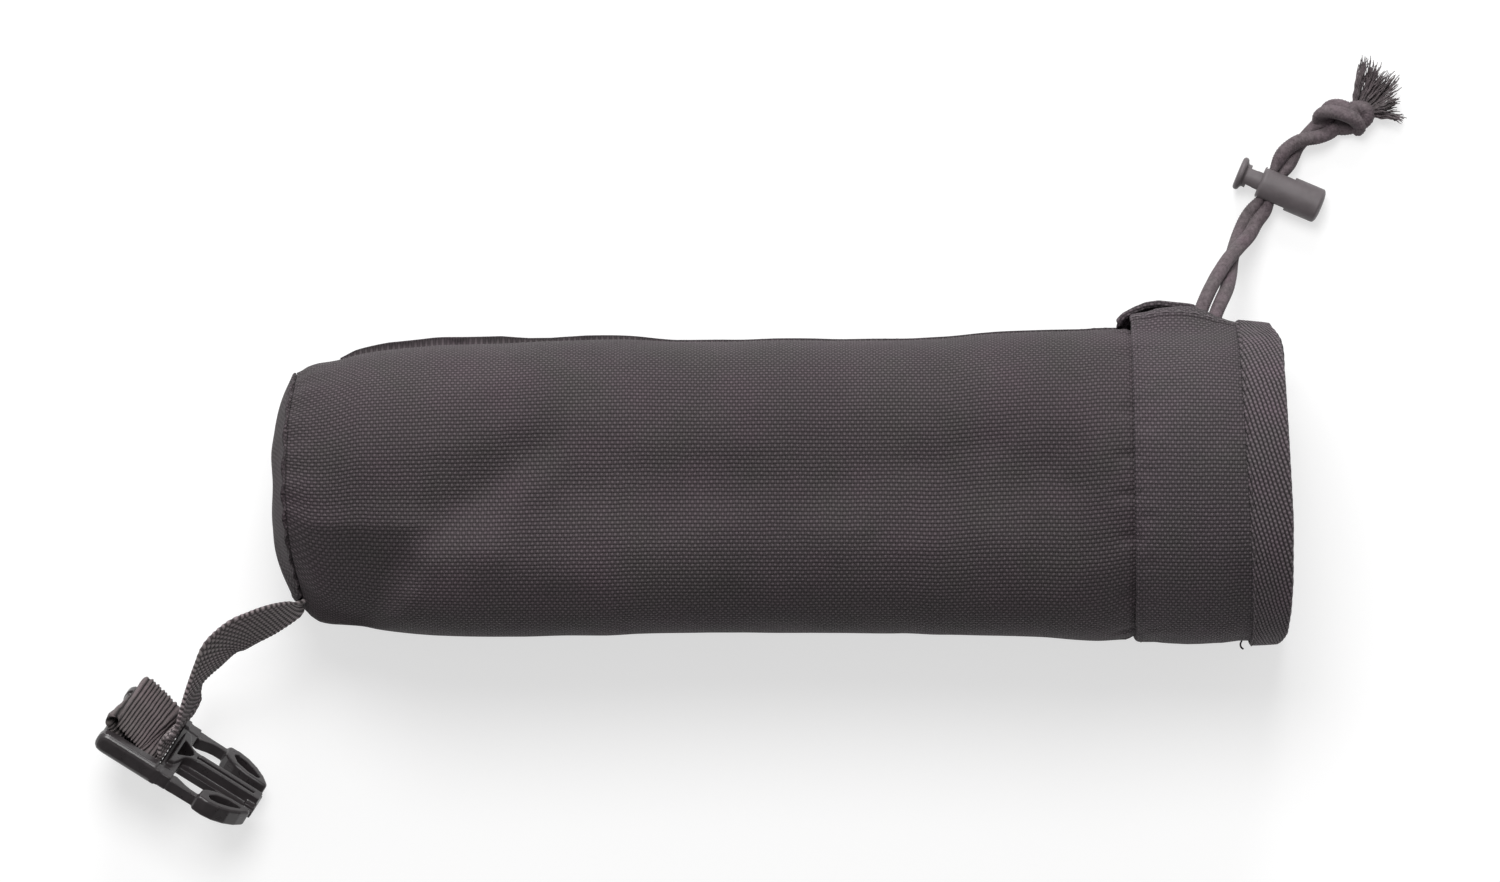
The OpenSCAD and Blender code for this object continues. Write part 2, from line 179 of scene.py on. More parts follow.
def shell(name, outer, inner, wrap_v, u, v, vend=None):
    """Closed thick skin between two grids of the same shape (mm). u, v are in mm."""
    nu, nv = outer.shape[:2]
    co = np.concatenate([outer.reshape(-1, 3), inner.reshape(-1, 3)])
    n = nu * nv
    q = [grid_quads(nu, nv, wrap_v), grid_quads(nu, nv, wrap_v, n, True)]
    uv = [grid_uv(u, v, wrap_v, vend), grid_uv(u, v, wrap_v, vend, True)]
    jj = np.arange(nv if wrap_v else nv - 1)
    kk = (jj + 1) % nv

    def strip(a, b, flip, ua, va):
        s = np.stack([a[:-1], a[1:], b[1:], b[:-1]], 1)
        t = np.stack([np.stack([ua[:-1], va[:-1]], -1), np.stack([ua[1:], va[1:]], -1),
                      np.stack([ua[1:] + 1, va[1:]], -1), np.stack([ua[:-1] + 1, va[:-1]], -1)], 1)
        if flip:
            s, t = s[:, ::-1], t[:, ::-1]
        q.append(s)
        uv.append(t)

    def row(i):
        idx = i * nv + np.arange(nv)
        vv, uu = v[i], u[i]
        if wrap_v:
            idx = np.append(idx, i * nv)
            vv, uu = np.append(vv, vend[i]), np.append(uu, uu[0])
        return idx, uu, vv

    a, ua, va = row(0)
    strip(a, a + n, True, ua, va)
    a, ua, va = row(nu - 1)
    strip(a, a + n, False, ua, va)
    if not wrap_v:
        a = np.arange(nu) * nv
        strip(a, a + n, False, u[:, 0], v[:, 0])
        a = np.arange(nu) * nv + nv - 1
        strip(a, a + n, True, u[:, -1], v[:, -1])
    return make_mesh(name, co, np.concatenate(q), np.concatenate(uv).reshape(-1, 2))


def resample(path, step=None, n=None, smooth_it=True):
    """Catmull-Rom through the points, then even steps along it."""
    p = np.asarray(path, float)
    e = np.concatenate([[2 * p[0] - p[1]], p, [2 * p[-1] - p[-2]]])
    fine = []
    for i in range(1, len(e) - 2):
        t = np.linspace(0, 1, 40, endpoint=False)[:, None]
        a, b, c, d = e[i - 1], e[i], e[i + 1], e[i + 2]
        fine.append(0.5 * (2 * b + (c - a) * t + (2 * a - 5 * b + 4 * c - d) * t**2
                           + (-a + 3 * b - 3 * c + d) * t**3))
    fine = np.concatenate(fine + [e[-2:-1]])
    s = np.concatenate([[0], np.cumsum(np.linalg.norm(np.diff(fine, axis=0), axis=1))])
    m = n if n else max(2, int(round(s[-1] / step)) + 1)
    t = np.linspace(0, s[-1], m)
    return np.stack([np.interp(t, s, fine[:, k]) for k in range(fine.shape[1])], 1), t


def transport(P, start):
    """Frames carried along a path without twist."""
    T = unit(np.gradient(P, axis=0))
    N = np.zeros_like(P)
    n = np.asarray(start, float)
    for i in range(len(P)):
        n = n - T[i] * np.dot(n, T[i])
        n = n / np.linalg.norm(n)
        N[i] = n
    return T, N, np.cross(T, N)


def plain_weave(a, b, sharp=0.7):
    """Height from 0 to 1 of a plain weave. a, b count the threads each way."""
    ia, ib = np.round(a), np.round(b)
    ra = np.clip(np.cos(np.pi * (a - ia)), 0, 1) ** sharp
    rb = np.clip(np.cos(np.pi * (b - ib)), 0, 1) ** sharp
    over = 0.5 + 0.5 * np.cos(np.pi * a) * np.cos(np.pi * ib)
    under = 0.5 + 0.5 * np.cos(np.pi * (b + 1)) * np.cos(np.pi * ia)
    return np.maximum(rb * over, ra * under)


def braid_tube(name, path, r, n_strands=8, pitch=6.5, amp=0.22, step=0.22, around=44,
               flat=None, start=(0, 0, 1), taper=None, wob=0.0, seed=1, caps=True):
    """Braided cord: a closed tube whose surface carries the woven strands."""
    P, s = resample(path, step=step)
    T, N, B = transport(P, start)
    th = np.linspace(0, 2 * np.pi, around, endpoint=False)
    S, TH = np.meshgrid(s, th, indexing="ij")
    k = n_strands * TH / (2 * np.pi)
    h = plain_weave(k + S * n_strands / pitch, k - S * n_strands / pitch)
    R = r - amp + amp * h * 1.15
    if wob:
        R = R * (1 + wob * vnoise(np.stack([S / 5, np.cos(TH) * 1.5, np.sin(TH) * 1.5], -1), seed))
    fa = np.ones_like(s) if flat is None else np.interp(s / s[-1], flat[0], flat[1])
    fb = np.ones_like(s) if flat is None else np.interp(s / s[-1], flat[0], flat[2])
    if taper is not None:
        t = np.interp(s / s[-1], taper[0], taper[1])
        fa, fb = fa * t, fb * t
    Q = (P[:, None] + N[:, None] * (np.cos(TH) * R * fa[:, None])[..., None]
         + B[:, None] * (np.sin(TH) * R * fb[:, None])[..., None])
    nu, nv = Q.shape[:2]
    quads = grid_quads(nu, nv, True, flip=True)
    uv = grid_uv(S, TH * r, True, np.full(nu, 2 * np.pi * r), flip=True)
    co = Q.reshape(-1, 3)
    tris = []
    if caps:
        co = np.concatenate([co, P[:1], P[-1:]])
        j = np.arange(nv)
        k2 = (j + 1) % nv
        c0, c1 = len(co) - 2, len(co) - 1
        tris = np.concatenate([np.stack([np.full(nv, c0), k2, j], 1)[:, ::1],
                               np.stack([np.full(nv, c1), (nu - 1) * nv + j, (nu - 1) * nv + k2], 1)])
        uv = np.concatenate([uv.reshape(-1, 2), np.zeros((len(tris) * 3, 2))])
    ob = make_mesh(name, co, quads, uv.reshape(-1, 2), tris if len(tris) else None)
    fix_normals(ob)
    return ob, P


def fix_normals(ob):
    bm = bmesh.new()
    bm.from_mesh(ob.data)
    bmesh.ops.recalc_face_normals(bm, faces=bm.faces)
    bm.to_mesh(ob.data)
    bm.free()
    ob.data.update()


def join(name, obs):
    bpy.ops.object.select_all(action="DESELECT")
    for o in obs:
        o.select_set(True)
    bpy.context.view_layer.objects.active = obs[0]
    bpy.ops.object.join()
    obs[0].name = name
    obs[0].data.name = name
    return obs[0]


def apply_mods(ob):
    dg = bpy.context.evaluated_depsgraph_get()
    me = bpy.data.meshes.new_from_object(ob.evaluated_get(dg))
    ob.modifiers.clear()
    old = ob.data
    ob.data = me
    bpy.data.meshes.remove(old)
    return ob


def moulded(name, parts, voxel=0.28, smooth=3, place=None, decimate=0.5):
    """One moulded plastic piece: its solids are fused on a fine grid and their edges eased."""
    ob = join(name, parts)
    m = ob.modifiers.new("fuse", "REMESH")
    m.mode = "VOXEL"
    m.voxel_size = voxel * MM
    m.use_smooth_shade = True
    s = ob.modifiers.new("ease", "SMOOTH")
    s.factor, s.iterations = 0.5, smooth
    if decimate:
        d = ob.modifiers.new("thin", "DECIMATE")
        d.ratio = decimate
    apply_mods(ob)
    if place is not None:
        ob.data.transform(place)
    for p in ob.data.polygons:
        p.use_smooth = True
    return ob


def prism(points, z0, z1, name="p", taper=0.0):
    """Straight prism on an outline (mm, counter-clockwise), local Z from z0 to z1."""
    pts = np.asarray(points, float)
    n = len(pts)
    c = pts.mean(0)
    co = np.concatenate([np.c_[pts, np.full(n, z0)], np.c_[c + (pts - c) * (1 - taper), np.full(n, z1)]])
    me = bpy.data.meshes.new(name)
    faces = [list(range(n))[::-1], list(range(n, 2 * n))]
    faces += [[i, (i + 1) % n, n + (i + 1) % n, n + i] for i in range(n)]
    me.from_pydata([tuple(p * MM) for p in co], [], faces)
    me.update()
    ob = bpy.data.objects.new(name, me)
    sc.collection.objects.link(ob)
    fix_normals(ob)
    return ob


def box3(u0, u1, v0, v1, n0, n1, name="b"):
    return prism([(u0, v0), (u1, v0), (u1, v1), (u0, v1)], n0, n1, name)


def side_prism(points, v0, v1, name="s"):
    """Prism on an outline in the u-n plane, running along v."""
    ob = prism([(p[0], p[1]) for p in points], 0, 1, name)
    me = ob.data
    for v in me.vertices:
        u, n, k = v.co.x, v.co.y, v.co.z / MM
        v.co = (u, (v0 + (v1 - v0) * k) * MM, n)
    me.update()
    fix_normals(ob)
    return ob


def rounded(points, r, seg=5):
    """Outline with its corners rounded; r may be one radius or one per corner."""
    pts = [np.array(p, float) for p in points]
    n = len(pts)
    rr = [r] * n if np.isscalar(r) else list(r)
    out = []
    for i in range(n):
        a, b, c = pts[i - 1], pts[i], pts[(i + 1) % n]
        u, v = unit(a - b), unit(c - b)
        ang = math.acos(max(-1, min(1, float(np.dot(u, v)))))
        if rr[i] <= 1e-6 or ang > math.pi - 0.05:
            out.append(b)
            continue
        d = rr[i] / math.tan(ang / 2)
        d = min(d, 0.48 * np.linalg.norm(a - b), 0.48 * np.linalg.norm(c - b))
        p, q = b + u * d, b + v * d
        for t in np.linspace(0, 1, seg + 1):
            out.append((1 - t) ** 2 * p + 2 * t * (1 - t) * b + t * t * q)
    return out


def revolve(points, name="r", seg=72, axis="x"):
    """Solid of revolution from (along, radius) points."""
    pts = np.asarray(points, float)
    th = np.linspace(0, 2 * np.pi, seg, endpoint=False)
    co, faces = [], []
    for x, r in pts:
        for t in th:
            co.append((x, r * math.cos(t), r * math.sin(t)))
    n = len(pts)
    for i in range(n - 1):
        for j in range(seg):
            k = (j + 1) % seg
            faces.append((i * seg + j, i * seg + k, (i + 1) * seg + k, (i + 1) * seg + j))
    faces.append(tuple(range(seg))[::-1])
    faces.append(tuple((n - 1) * seg + j for j in range(seg)))
    me = bpy.data.meshes.new(name)
    me.from_pydata([tuple(np.array(c) * MM) for c in co], [], faces)
    me.update()
    ob = bpy.data.objects.new(name, me)
    sc.collection.objects.link(ob)
    fix_normals(ob)
    return ob


def cut(ob, tool):
    m = ob.modifiers.new("cut", "BOOLEAN")
    m.operation = "DIFFERENCE"
    m.solver = "EXACT"
    m.object = tool
    bpy.context.view_layer.update()
    apply_mods(ob)
    bpy.data.objects.remove(tool)
    return ob


# ------------------------------------------------------------------ materials
class Nodes:
    """Short way to write a node tree."""

    def __init__(self, name):
        self.mat = bpy.data.materials.new(name)
        self.mat.use_nodes = True
        self.nt = self.mat.node_tree
        self.nt.nodes.clear()
        self.out = self.nt.nodes.new("ShaderNodeOutputMaterial")
        self.bsdf = self.nt.nodes.new("ShaderNodeBsdfPrincipled")
        self.nt.links.new(self.bsdf.outputs[0], self.out.inputs[0])
        self.bsdf.inputs["Specular IOR Level"].default_value = 0.3

    def put(self, socket, value):
        if isinstance(value, bpy.types.NodeSocket):
            self.nt.links.new(value, socket)
        else:
            socket.default_value = value

    def math(self, op, a, b=0.0, c=0.0, clamp=False):
        n = self.nt.nodes.new("ShaderNodeMath")
        n.operation, n.use_clamp = op, clamp
        for s, v in zip(n.inputs, (a, b, c)):
            self.put(s, v)
        return n.outputs[0]

    def uv(self):
        n = self.nt.nodes.new("ShaderNodeUVMap")
        n.uv_map = "UVMap"
        s = self.nt.nodes.new("ShaderNodeSeparateXYZ")
        self.nt.links.new(n.outputs[0], s.inputs[0])
        return s.outputs[0], s.outputs[1], n.outputs[0]

    def obj(self):
        return self.nt.nodes.new("ShaderNodeTexCoord").outputs["Object"]

    def noise(self, vec, scale, detail=2.0, rough=0.5):
        n = self.nt.nodes.new("ShaderNodeTexNoise")
        n.inputs["Scale"].default_value = scale
        n.inputs["Detail"].default_value = detail
        n.inputs["Roughness"].default_value = rough
        self.nt.links.new(vec, n.inputs["Vector"])
        return n.outputs["Fac"]

    def ramp(self, fac, *stops):
        n = self.nt.nodes.new("ShaderNodeValToRGB")
        e = n.color_ramp.elements
        while len(e) < len(stops):
            e.new(0.5)
        for k, (pos, col) in zip(e, stops):
            k.position, k.color = pos, (*col, 1) if len(col) == 3 else col
        self.put(n.inputs[0], fac)
        return n.outputs[0]

    def mix(self, fac, a, b, kind="MIX"):
        n = self.nt.nodes.new("ShaderNodeMix")
        n.data_type, n.blend_type = "RGBA", kind
        self.put(n.inputs[0], fac)
        self.put(n.inputs[6], a if isinstance(a, bpy.types.NodeSocket) else (*a, 1))
        self.put(n.inputs[7], b if isinstance(b, bpy.types.NodeSocket) else (*b, 1))
        return n.outputs[2]

    def bump(self, height, dist, strength=1.0, normal=None):
        n = self.nt.nodes.new("ShaderNodeBump")
        n.inputs["Distance"].default_value = dist
        n.inputs["Strength"].default_value = strength
        self.put(n.inputs["Height"], height)
        if normal is not None:
            self.nt.links.new(normal, n.inputs["Normal"])
        return n.outputs[0]

    def weave(self, u, v, pu, pv, sharp=0.8, sunk=0.72):
        """Plain weave height; threads pu mm apart along u and pv mm apart along v."""
        m = self.math
        a, b = m("DIVIDE", u, pu), m("DIVIDE", v, pv)
        ia, ib = m("ROUND", a), m("ROUND", b)
        ca = m("POWER", m("MAXIMUM", m("COSINE", m("MULTIPLY", m("SUBTRACT", a, ia), math.pi)), 0.0), sharp)
        cb = m("POWER", m("MAXIMUM", m("COSINE", m("MULTIPLY", m("SUBTRACT", b, ib), math.pi)), 0.0), sharp)
        sa = m("COSINE", m("MULTIPLY", a, math.pi))
        sb = m("COSINE", m("MULTIPLY", ib, math.pi))
        over = m("MULTIPLY_ADD", m("MULTIPLY", sa, sb), 0.5, 0.5)
        ta = m("COSINE", m("MULTIPLY", m("ADD", b, 1.0), math.pi))
        tb = m("COSINE", m("MULTIPLY", ia, math.pi))
        under = m("MULTIPLY_ADD", m("MULTIPLY", ta, tb), 0.5, 0.5)
        return m("MAXIMUM", m("MULTIPLY", cb, over), m("MULTIPLY", m("MULTIPLY", ca, under), sunk))


def canvas_mat(name, low, high, pu=0.785, pv=1.09, deep=0.00032):
    n = Nodes(name)
    u, v, vec = n.uv()
    o = n.obj()
    wob = n.noise(o, 260.0, 2.0)
    u2 = n.math("MULTIPLY_ADD", wob, 0.5, u)
    v2 = n.math("MULTIPLY_ADD", n.noise(o, 190.0, 2.0), 0.45, v)
    h = n.weave(u2, v2, pu, pv, 0.8, 0.42)
    per_thread = n.noise(vec, 0.9, 1.0)
    h2 = n.math("MULTIPLY", h, n.math("MULTIPLY_ADD", per_thread, 0.7, 0.65))
    # colour by weave height: darker in the hollows between the threads as painted shade, lighter on the threads, each
    # thread's own tone varied at random
    col = n.ramp(h2, (0.05, low), (0.42, tuple(0.5 * (a + b) for a, b in zip(low, high))), (0.95, high))
    blot = n.noise(o, 55.0, 3.0, 0.6)
    tint = n.ramp(blot, (0.3, (0.93, 0.98, 0.93)), (0.5, (1.0, 0.99, 1.0)), (0.72, (1.07, 0.99, 1.05)))
    col = n.mix(1.0, col, tint, "MULTIPLY")
    worn = n.ramp(n.noise(o, 18.0, 4.0, 0.6), (0.35, (0.9, 0.9, 0.9)), (0.65, (1.08, 1.07, 1.07)))
    col = n.mix(1.0, col, worn, "MULTIPLY")
    n.put(n.bsdf.inputs["Base Color"], col)
    n.put(n.bsdf.inputs["Roughness"], n.math("MULTIPLY_ADD", h, -0.16, 0.86))
    n.bsdf.inputs["Specular IOR Level"].default_value = 0.16
    n.bsdf.inputs["Sheen Weight"].default_value = 0.03
    n.bsdf.inputs["Sheen Roughness"].default_value = 0.5
    fuzz = n.noise(o, 2600.0, 2.0)
    b1 = n.bump(fuzz, 0.00006, 0.5)
    n.put(n.bsdf.inputs["Normal"], n.bump(h2, deep, 1.0, b1))
    return n.mat


def yarn_mat(name, low, high, fine=5200.0, sheen=0.05, rough=0.72, spec=0.2):
    """For pieces whose weave is real geometry: fibres and a little mottling."""
    n = Nodes(name)
    o = n.obj()
    col = n.ramp(n.noise(o, 900.0, 3.0, 0.6), (0.3, low), (0.72, high))
    tint = n.ramp(n.noise(o, 130.0, 2.0), (0.3, (0.94, 0.98, 0.95)), (0.7, (1.06, 0.99, 1.04)))
    col = n.mix(1.0, col, tint, "MULTIPLY")
    n.put(n.bsdf.inputs["Base Color"], col)
    n.put(n.bsdf.inputs["Roughness"], n.math("MULTIPLY_ADD", n.noise(o, 1500.0), 0.2, rough - 0.1))
    n.bsdf.inputs["Specular IOR Level"].default_value = spec
    n.bsdf.inputs["Sheen Weight"].default_value = sheen
    n.bsdf.inputs["Sheen Roughness"].default_value = 0.45
    n.put(n.bsdf.inputs["Normal"], n.bump(n.noise(o, fine, 2.0), 0.00005, 0.6))
    return n.mat


def webbing_mat(name, pit, low, high, pu, pv, ribs=False, skew=0.0):
    """Webbing yarns: the colour follows the same weave as the geometry, with painted shade in its pits."""
    n = Nodes(name)
    u, v, vec = n.uv()
    o = n.obj()
    u2 = n.math("MULTIPLY_ADD", n.noise(o, 300.0, 2.0), 0.24, n.math("MULTIPLY_ADD", v, skew, u))
    v2 = n.math("MULTIPLY_ADD", n.noise(o, 260.0, 2.0), 0.24, v)
    if ribs:
        wave = n.math("ABSOLUTE", n.math("COSINE", n.math("MULTIPLY", n.math("DIVIDE", u2, pu), math.pi)))
        yarn = n.math("ABSOLUTE", n.math("COSINE", n.math("MULTIPLY", n.math("DIVIDE", v2, pv), math.pi)))
        h = n.math("MULTIPLY", n.math("POWER", wave, 0.8), n.math("MULTIPLY_ADD", yarn, 0.45, 0.55))
    else:
        h = n.weave(u2, v2, pu, pv, 0.7, 0.22)
    hair = n.noise(o, 1400.0, 3.0, 0.6)
    h2 = n.math("MULTIPLY", h, n.math("MULTIPLY_ADD", hair, 0.6, 0.7))
    # colour by weave height: the darkening towards the pit colour is painted shade in the pits, the rest is the yarns'
    # own tone varied at random
    col = n.ramp(h2, (0.12, pit), (0.4, low), (0.85, high))
    tint = n.ramp(n.noise(o, 90.0, 2.0), (0.3, (0.93, 0.96, 0.93)), (0.7, (1.07, 1.0, 1.03)))
    col = n.mix(1.0, col, tint, "MULTIPLY")
    n.put(n.bsdf.inputs["Base Color"], col)
    n.put(n.bsdf.inputs["Roughness"], n.math("MULTIPLY_ADD", h, -0.12, 0.8))
    n.bsdf.inputs["Specular IOR Level"].default_value = 0.22
    n.bsdf.inputs["Sheen Weight"].default_value = 0.05
    n.put(n.bsdf.inputs["Normal"], n.bump(h2, 0.00028, 1.0, n.bump(n.noise(o, 5200.0, 2.0), 0.00005, 0.6)))
    return n.mat


def twill_mat(name, pit, low, high):
    """Herringbone tape: fine ribs that run along the tape at a slant, each with painted shade in the pits between its
    floats.
    """
    n = Nodes(name)
    u, v, vec = n.uv()
    o = n.obj()
    m = n.math
    wob = m("MULTIPLY", m("SUBTRACT", n.noise(o, 220.0, 2.0), 0.5), 0.7)
    w = m("ADD", u, wob)
    x = m("DIVIDE", m("MULTIPLY_ADD", v, -0.32, w), 1.3)
    y = m("DIVIDE", m("MULTIPLY_ADD", w, 0.32, v), 1.36)
    row = m("ROUND", x)
    rib = m("POWER", m("MAXIMUM", m("COSINE", m("MULTIPLY", m("SUBTRACT", x, row), math.pi)), 0.0), 0.8)
    beat = m("MULTIPLY_ADD", m("COSINE", m("MULTIPLY", m("MULTIPLY_ADD", row, 0.4, y), 2 * math.pi)), 0.28, 0.72)
    h = m("MULTIPLY", rib, beat)
    hair = n.noise(o, 1500.0, 3.0, 0.6)
    h2 = m("MULTIPLY", h, m("MULTIPLY_ADD", hair, 0.5, 0.75))
    # colour by rib height: the darkening towards the pit colour is painted shade between the floats, the rest is the
    # yarns' own tone
    col = n.ramp(h2, (0.15, pit), (0.45, low), (0.9, high))
    tint = n.ramp(n.noise(o, 110.0, 2.0), (0.3, (0.93, 0.97, 0.94)), (0.7, (1.07, 0.99, 1.05)))
    col = n.mix(1.0, col, tint, "MULTIPLY")
    n.put(n.bsdf.inputs["Base Color"], col)
    n.put(n.bsdf.inputs["Roughness"], m("MULTIPLY_ADD", h, -0.1, 0.82))
    n.bsdf.inputs["Specular IOR Level"].default_value = 0.18
    n.bsdf.inputs["Sheen Weight"].default_value = 0.04
    n.put(n.bsdf.inputs["Normal"], n.bump(h2, 0.00035, 1.0, n.bump(n.noise(o, 5200.0, 2.0), 0.00005, 0.6)))
    return n.mat


def plastic_mat(name, low, high, rough=0.42, spec=0.5):
    n = Nodes(name)
    o = n.obj()
    col = n.ramp(n.noise(o, 240.0, 4.0, 0.6), (0.3, low), (0.75, high))
    n.put(n.bsdf.inputs["Base Color"], col)
    n.put(n.bsdf.inputs["Roughness"], n.math("MULTIPLY_ADD", n.noise(o, 500.0, 3.0), 0.18, rough - 0.09))
    n.bsdf.inputs["Specular IOR Level"].default_value = spec
    n.put(n.bsdf.inputs["Normal"], n.bump(n.noise(o, 3500.0, 2.0), 0.00003, 0.35))
    return n.mat


# In the canvas, tape and webbing materials the first, darkest colour is painted shade in the weave's hollows and pits;
# the other colours are the yarns' own tone.
M_CANVAS = canvas_mat("canvas", (0.0165, 0.0138, 0.0148), (0.108, 0.0905, 0.0975))
M_CASING = canvas_mat("canvas_casing", (0.0185, 0.0158, 0.0172), (0.122, 0.1035, 0.1125))
M_TAPE = twill_mat("binding_twill", (0.021, 0.0175, 0.019), (0.070, 0.0585, 0.064), (0.150, 0.126, 0.137))
M_WEB = yarn_mat("webbing_yarn", (0.056, 0.0455, 0.0468), (0.118, 0.097, 0.0995))
M_WEBT = webbing_mat("webbing_woven", (0.022, 0.018, 0.0187), (0.158, 0.134, 0.138), (0.285, 0.247, 0.253), 0.72, 2.05, skew=0.22)
M_RIB = webbing_mat("webbing_ribbed", (0.008, 0.0066, 0.0068), (0.046, 0.0385, 0.039), (0.155, 0.130, 0.132), 1.12, 0.45, True)
M_CORD = yarn_mat("cord_yarn", (0.078, 0.0625, 0.068), (0.156, 0.1275, 0.137), sheen=0.08)
M_FRAY = yarn_mat("cord_fibre", (0.050, 0.0415, 0.043), (0.150, 0.128, 0.133), sheen=0.1)
M_THREAD = yarn_mat("thread", (0.09, 0.077, 0.083), (0.17, 0.149, 0.159), sheen=0.1)
M_PLASTIC = plastic_mat("acetal", (0.026, 0.0222, 0.0235), (0.041, 0.0352, 0.0372), rough=0.30, spec=0.6)
M_LOCK = plastic_mat("lock_plastic", (0.100, 0.087, 0.091), (0.138, 0.121, 0.127), rough=0.5, spec=0.35)
# darker copy of the thread: painted shade for stitches sunk into a seam
M_THREAD_SHADE = yarn_mat("thread_sunk_painted_shade", (0.030, 0.025, 0.027), (0.07, 0.06, 0.064), sheen=0.03)
M_STEEL = plastic_mat("spring_wire", (0.5, 0.5, 0.5), (0.6, 0.6, 0.61), rough=0.3)
M_STEEL.node_tree.nodes["Principled BSDF"].inputs["Metallic"].default_value = 1.0


def paint(ob, mat):
    ob.data.materials.clear()
    ob.data.materials.append(mat)
    return ob

# ------------------------------------------------------------------ drawcord
LOCK_P = np.array([137.3, 87.4, 5.05])
YAW = math.radians(-22.9)
E1 = np.array([math.cos(YAW), math.sin(YAW), 0.0])
P1 = np.array([-math.sin(YAW), math.cos(YAW), 0.0])


def lane(t, s, z=5.05):
    q = LOCK_P + t * E1 + s * P1
    return [q[0], q[1], z]


# Middle line of the two strands from inside the casing to the knot, with the turn of strand a
# about it (degrees, 0 = right, 90 = above) and half the distance between the strands.
PAIR = [
    ([121.0, 44.6, 41.0], 180, 2.05), ([121.9, 49.2, 40.4], 178, 2.15), ([123.6, 53.4, 37.2], 172, 2.2),
    ([125.7, 57.6, 31.6], 160, 2.2), ([127.9, 62.2, 22.6], 128, 2.15), ([130.1, 66.9, 14.0], 86, 2.1),
    ([132.6, 71.6, 7.8], 50, 2.05), ([134.9, 76.2, 5.3], 26, 1.75), (lane(3.3, -6.6, 5.05), 8, 1.5),
    (lane(3.6, -4.0, 5.1), 3, 1.32), (lane(3.7, 0, 5.05), 0, 1.32), (lane(3.9, 4.0, 5.1), -3, 1.32),
    (lane(4.2, 6.6, 5.2), -14, 1.6), ([145.4, 94.9, 5.2], -42, 2.0), ([147.8, 97.8, 4.7], -72, 2.05),
    ([150.4, 99.6, 4.4], -95, 2.05), ([153.2, 101.1, 4.3], -128, 2.1), ([156.0, 102.9, 3.6], -166, 2.1),
    ([157.6, 104.4, 3.0], -178, 2.05)]


def strand(side):
    mid = np.array([p[0] for p in PAIR], float)
    T = unit(np.gradient(mid, axis=0))
    out = []
    for (p, turn, h), t in zip(PAIR, T):
        lat = unit(np.array([t[1], -t[0], 0.0]))
        up = np.cross(lat, t)
        f = math.radians(turn)
        out.append(np.array(p) + side * h * (math.cos(f) * lat + math.sin(f) * up))
    out = np.array(out)
    out[6:, 2] = np.maximum(out[6:, 2], 2.15)
    return out


# Widths across the strand: round, pinched where the lock's plunger grips it.
def pinch(path):
    fine, s = resample(path, step=0.5)
    d = np.abs((fine - LOCK_P) @ P1) + np.where(fine[:, 1] < 70, 50, 0)
    k = smooth01(1 - (d - 3.5) / 5.0)
    return s / s[-1], 1 - 0.34 * k, 1 + 0.08 * k


strands = []
for tag, side in (("a", 1), ("b", -1)):
    path = strand(side)
    f, wa, wb = pinch(path)
    ob, line = braid_tube("drawcord_strand_" + tag + "_braid", path, 2.05, step=0.2, around=48, pitch=6.2,
                          amp=0.24, flat=(f, wa, wb), start=(E1[0], E1[1], 0.0), wob=0.03,
                          seed=3 if side > 0 else 7)
    paint(ob, M_CORD)
    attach(ob, "bag")
    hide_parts("drawcord_strand_" + tag)
    strands.append((ob, line))


def px(pts):
    """Plan points given on a 3.5-per-millimetre grid from the top left, with a height in mm."""
    return [[(p[0] - 781.5) / 3.5, (486 - p[1]) / 3.5, p[2]] for p in pts]


knot_parts = []
for k, (pts, r, fa, fb, ref) in enumerate((
        ([(1336, 128, 2.2), (1328, 122.5, 2.4), (1324.2, 114.5, 4.6), (1329.5, 110.2, 7.2), (1339.5, 111.0, 8.5),
          (1349.5, 114.2, 8.5), (1357.2, 118.2, 7.2), (1360.6, 122.8, 4.8), (1357.5, 126.0, 2.7)],
         2.3, 0.86, 1.30, (0, 0, 1)),
        ([(1332, 118, 2.6), (1329.5, 110.5, 3.6), (1333.5, 105.5, 5.4), (1341.5, 104.6, 6.4), (1350, 107.6, 6.5),
          (1357.5, 112.2, 5.6), (1362.5, 116.5, 4.0)], 2.1, 1.0, 1.0, (0, 0, 1)),
        ([(1334, 124, 2.2), (1343, 126.0, 2.3), (1353, 125.2, 2.8), (1362, 122.2, 3.9), (1369.2, 115.6, 5.0),
          (1368.2, 108.6, 5.6), (1361, 106.4, 5.4), (1353.5, 108.6, 4.2), (1348, 113, 3.4)],
         2.15, 1.0, 1.06, (0, 0, 1)),
        ([(1338, 120, 2.2), (1347, 121.0, 2.2), (1356, 119.6, 2.3), (1363.6, 115.2, 2.8), (1364.5, 109.6, 2.8),
          (1358, 107.4, 2.4)], 2.1, 0.95, 1.0, (0, 0, 1)))):
    ob, _ = braid_tube("knot_turn_%d" % k, px(pts), r, step=0.2, around=48, pitch=6.2, amp=0.24,
                       flat=([0, 1], [fa, fa], [fb, fb]), start=ref, wob=0.03, seed=11 + k)
    knot_parts.append(ob)
knot = join("drawcord_overhand_knot", knot_parts)
paint(knot, M_CORD)
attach(knot, "bag")
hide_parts("drawcord_knot")

# Frayed ends: yarns that open into single crimped fibres.
rng = np.random.default_rng(5)
TIPS = [(1366.5, 56.5), (1370, 60), (1374, 57.5), (1378, 66), (1382.5, 61.5), (1383, 72), (1390, 70.5), (1392, 79),
        (1397.5, 71.5), (1400.5, 75), (1401, 85), (1396, 90), (1400, 94), (1401, 98.5), (1395, 103), (1397.5, 107),
        (1402, 112.5), (1407, 116), (1405.5, 119.5)]
fib_co, fib_q = [], []


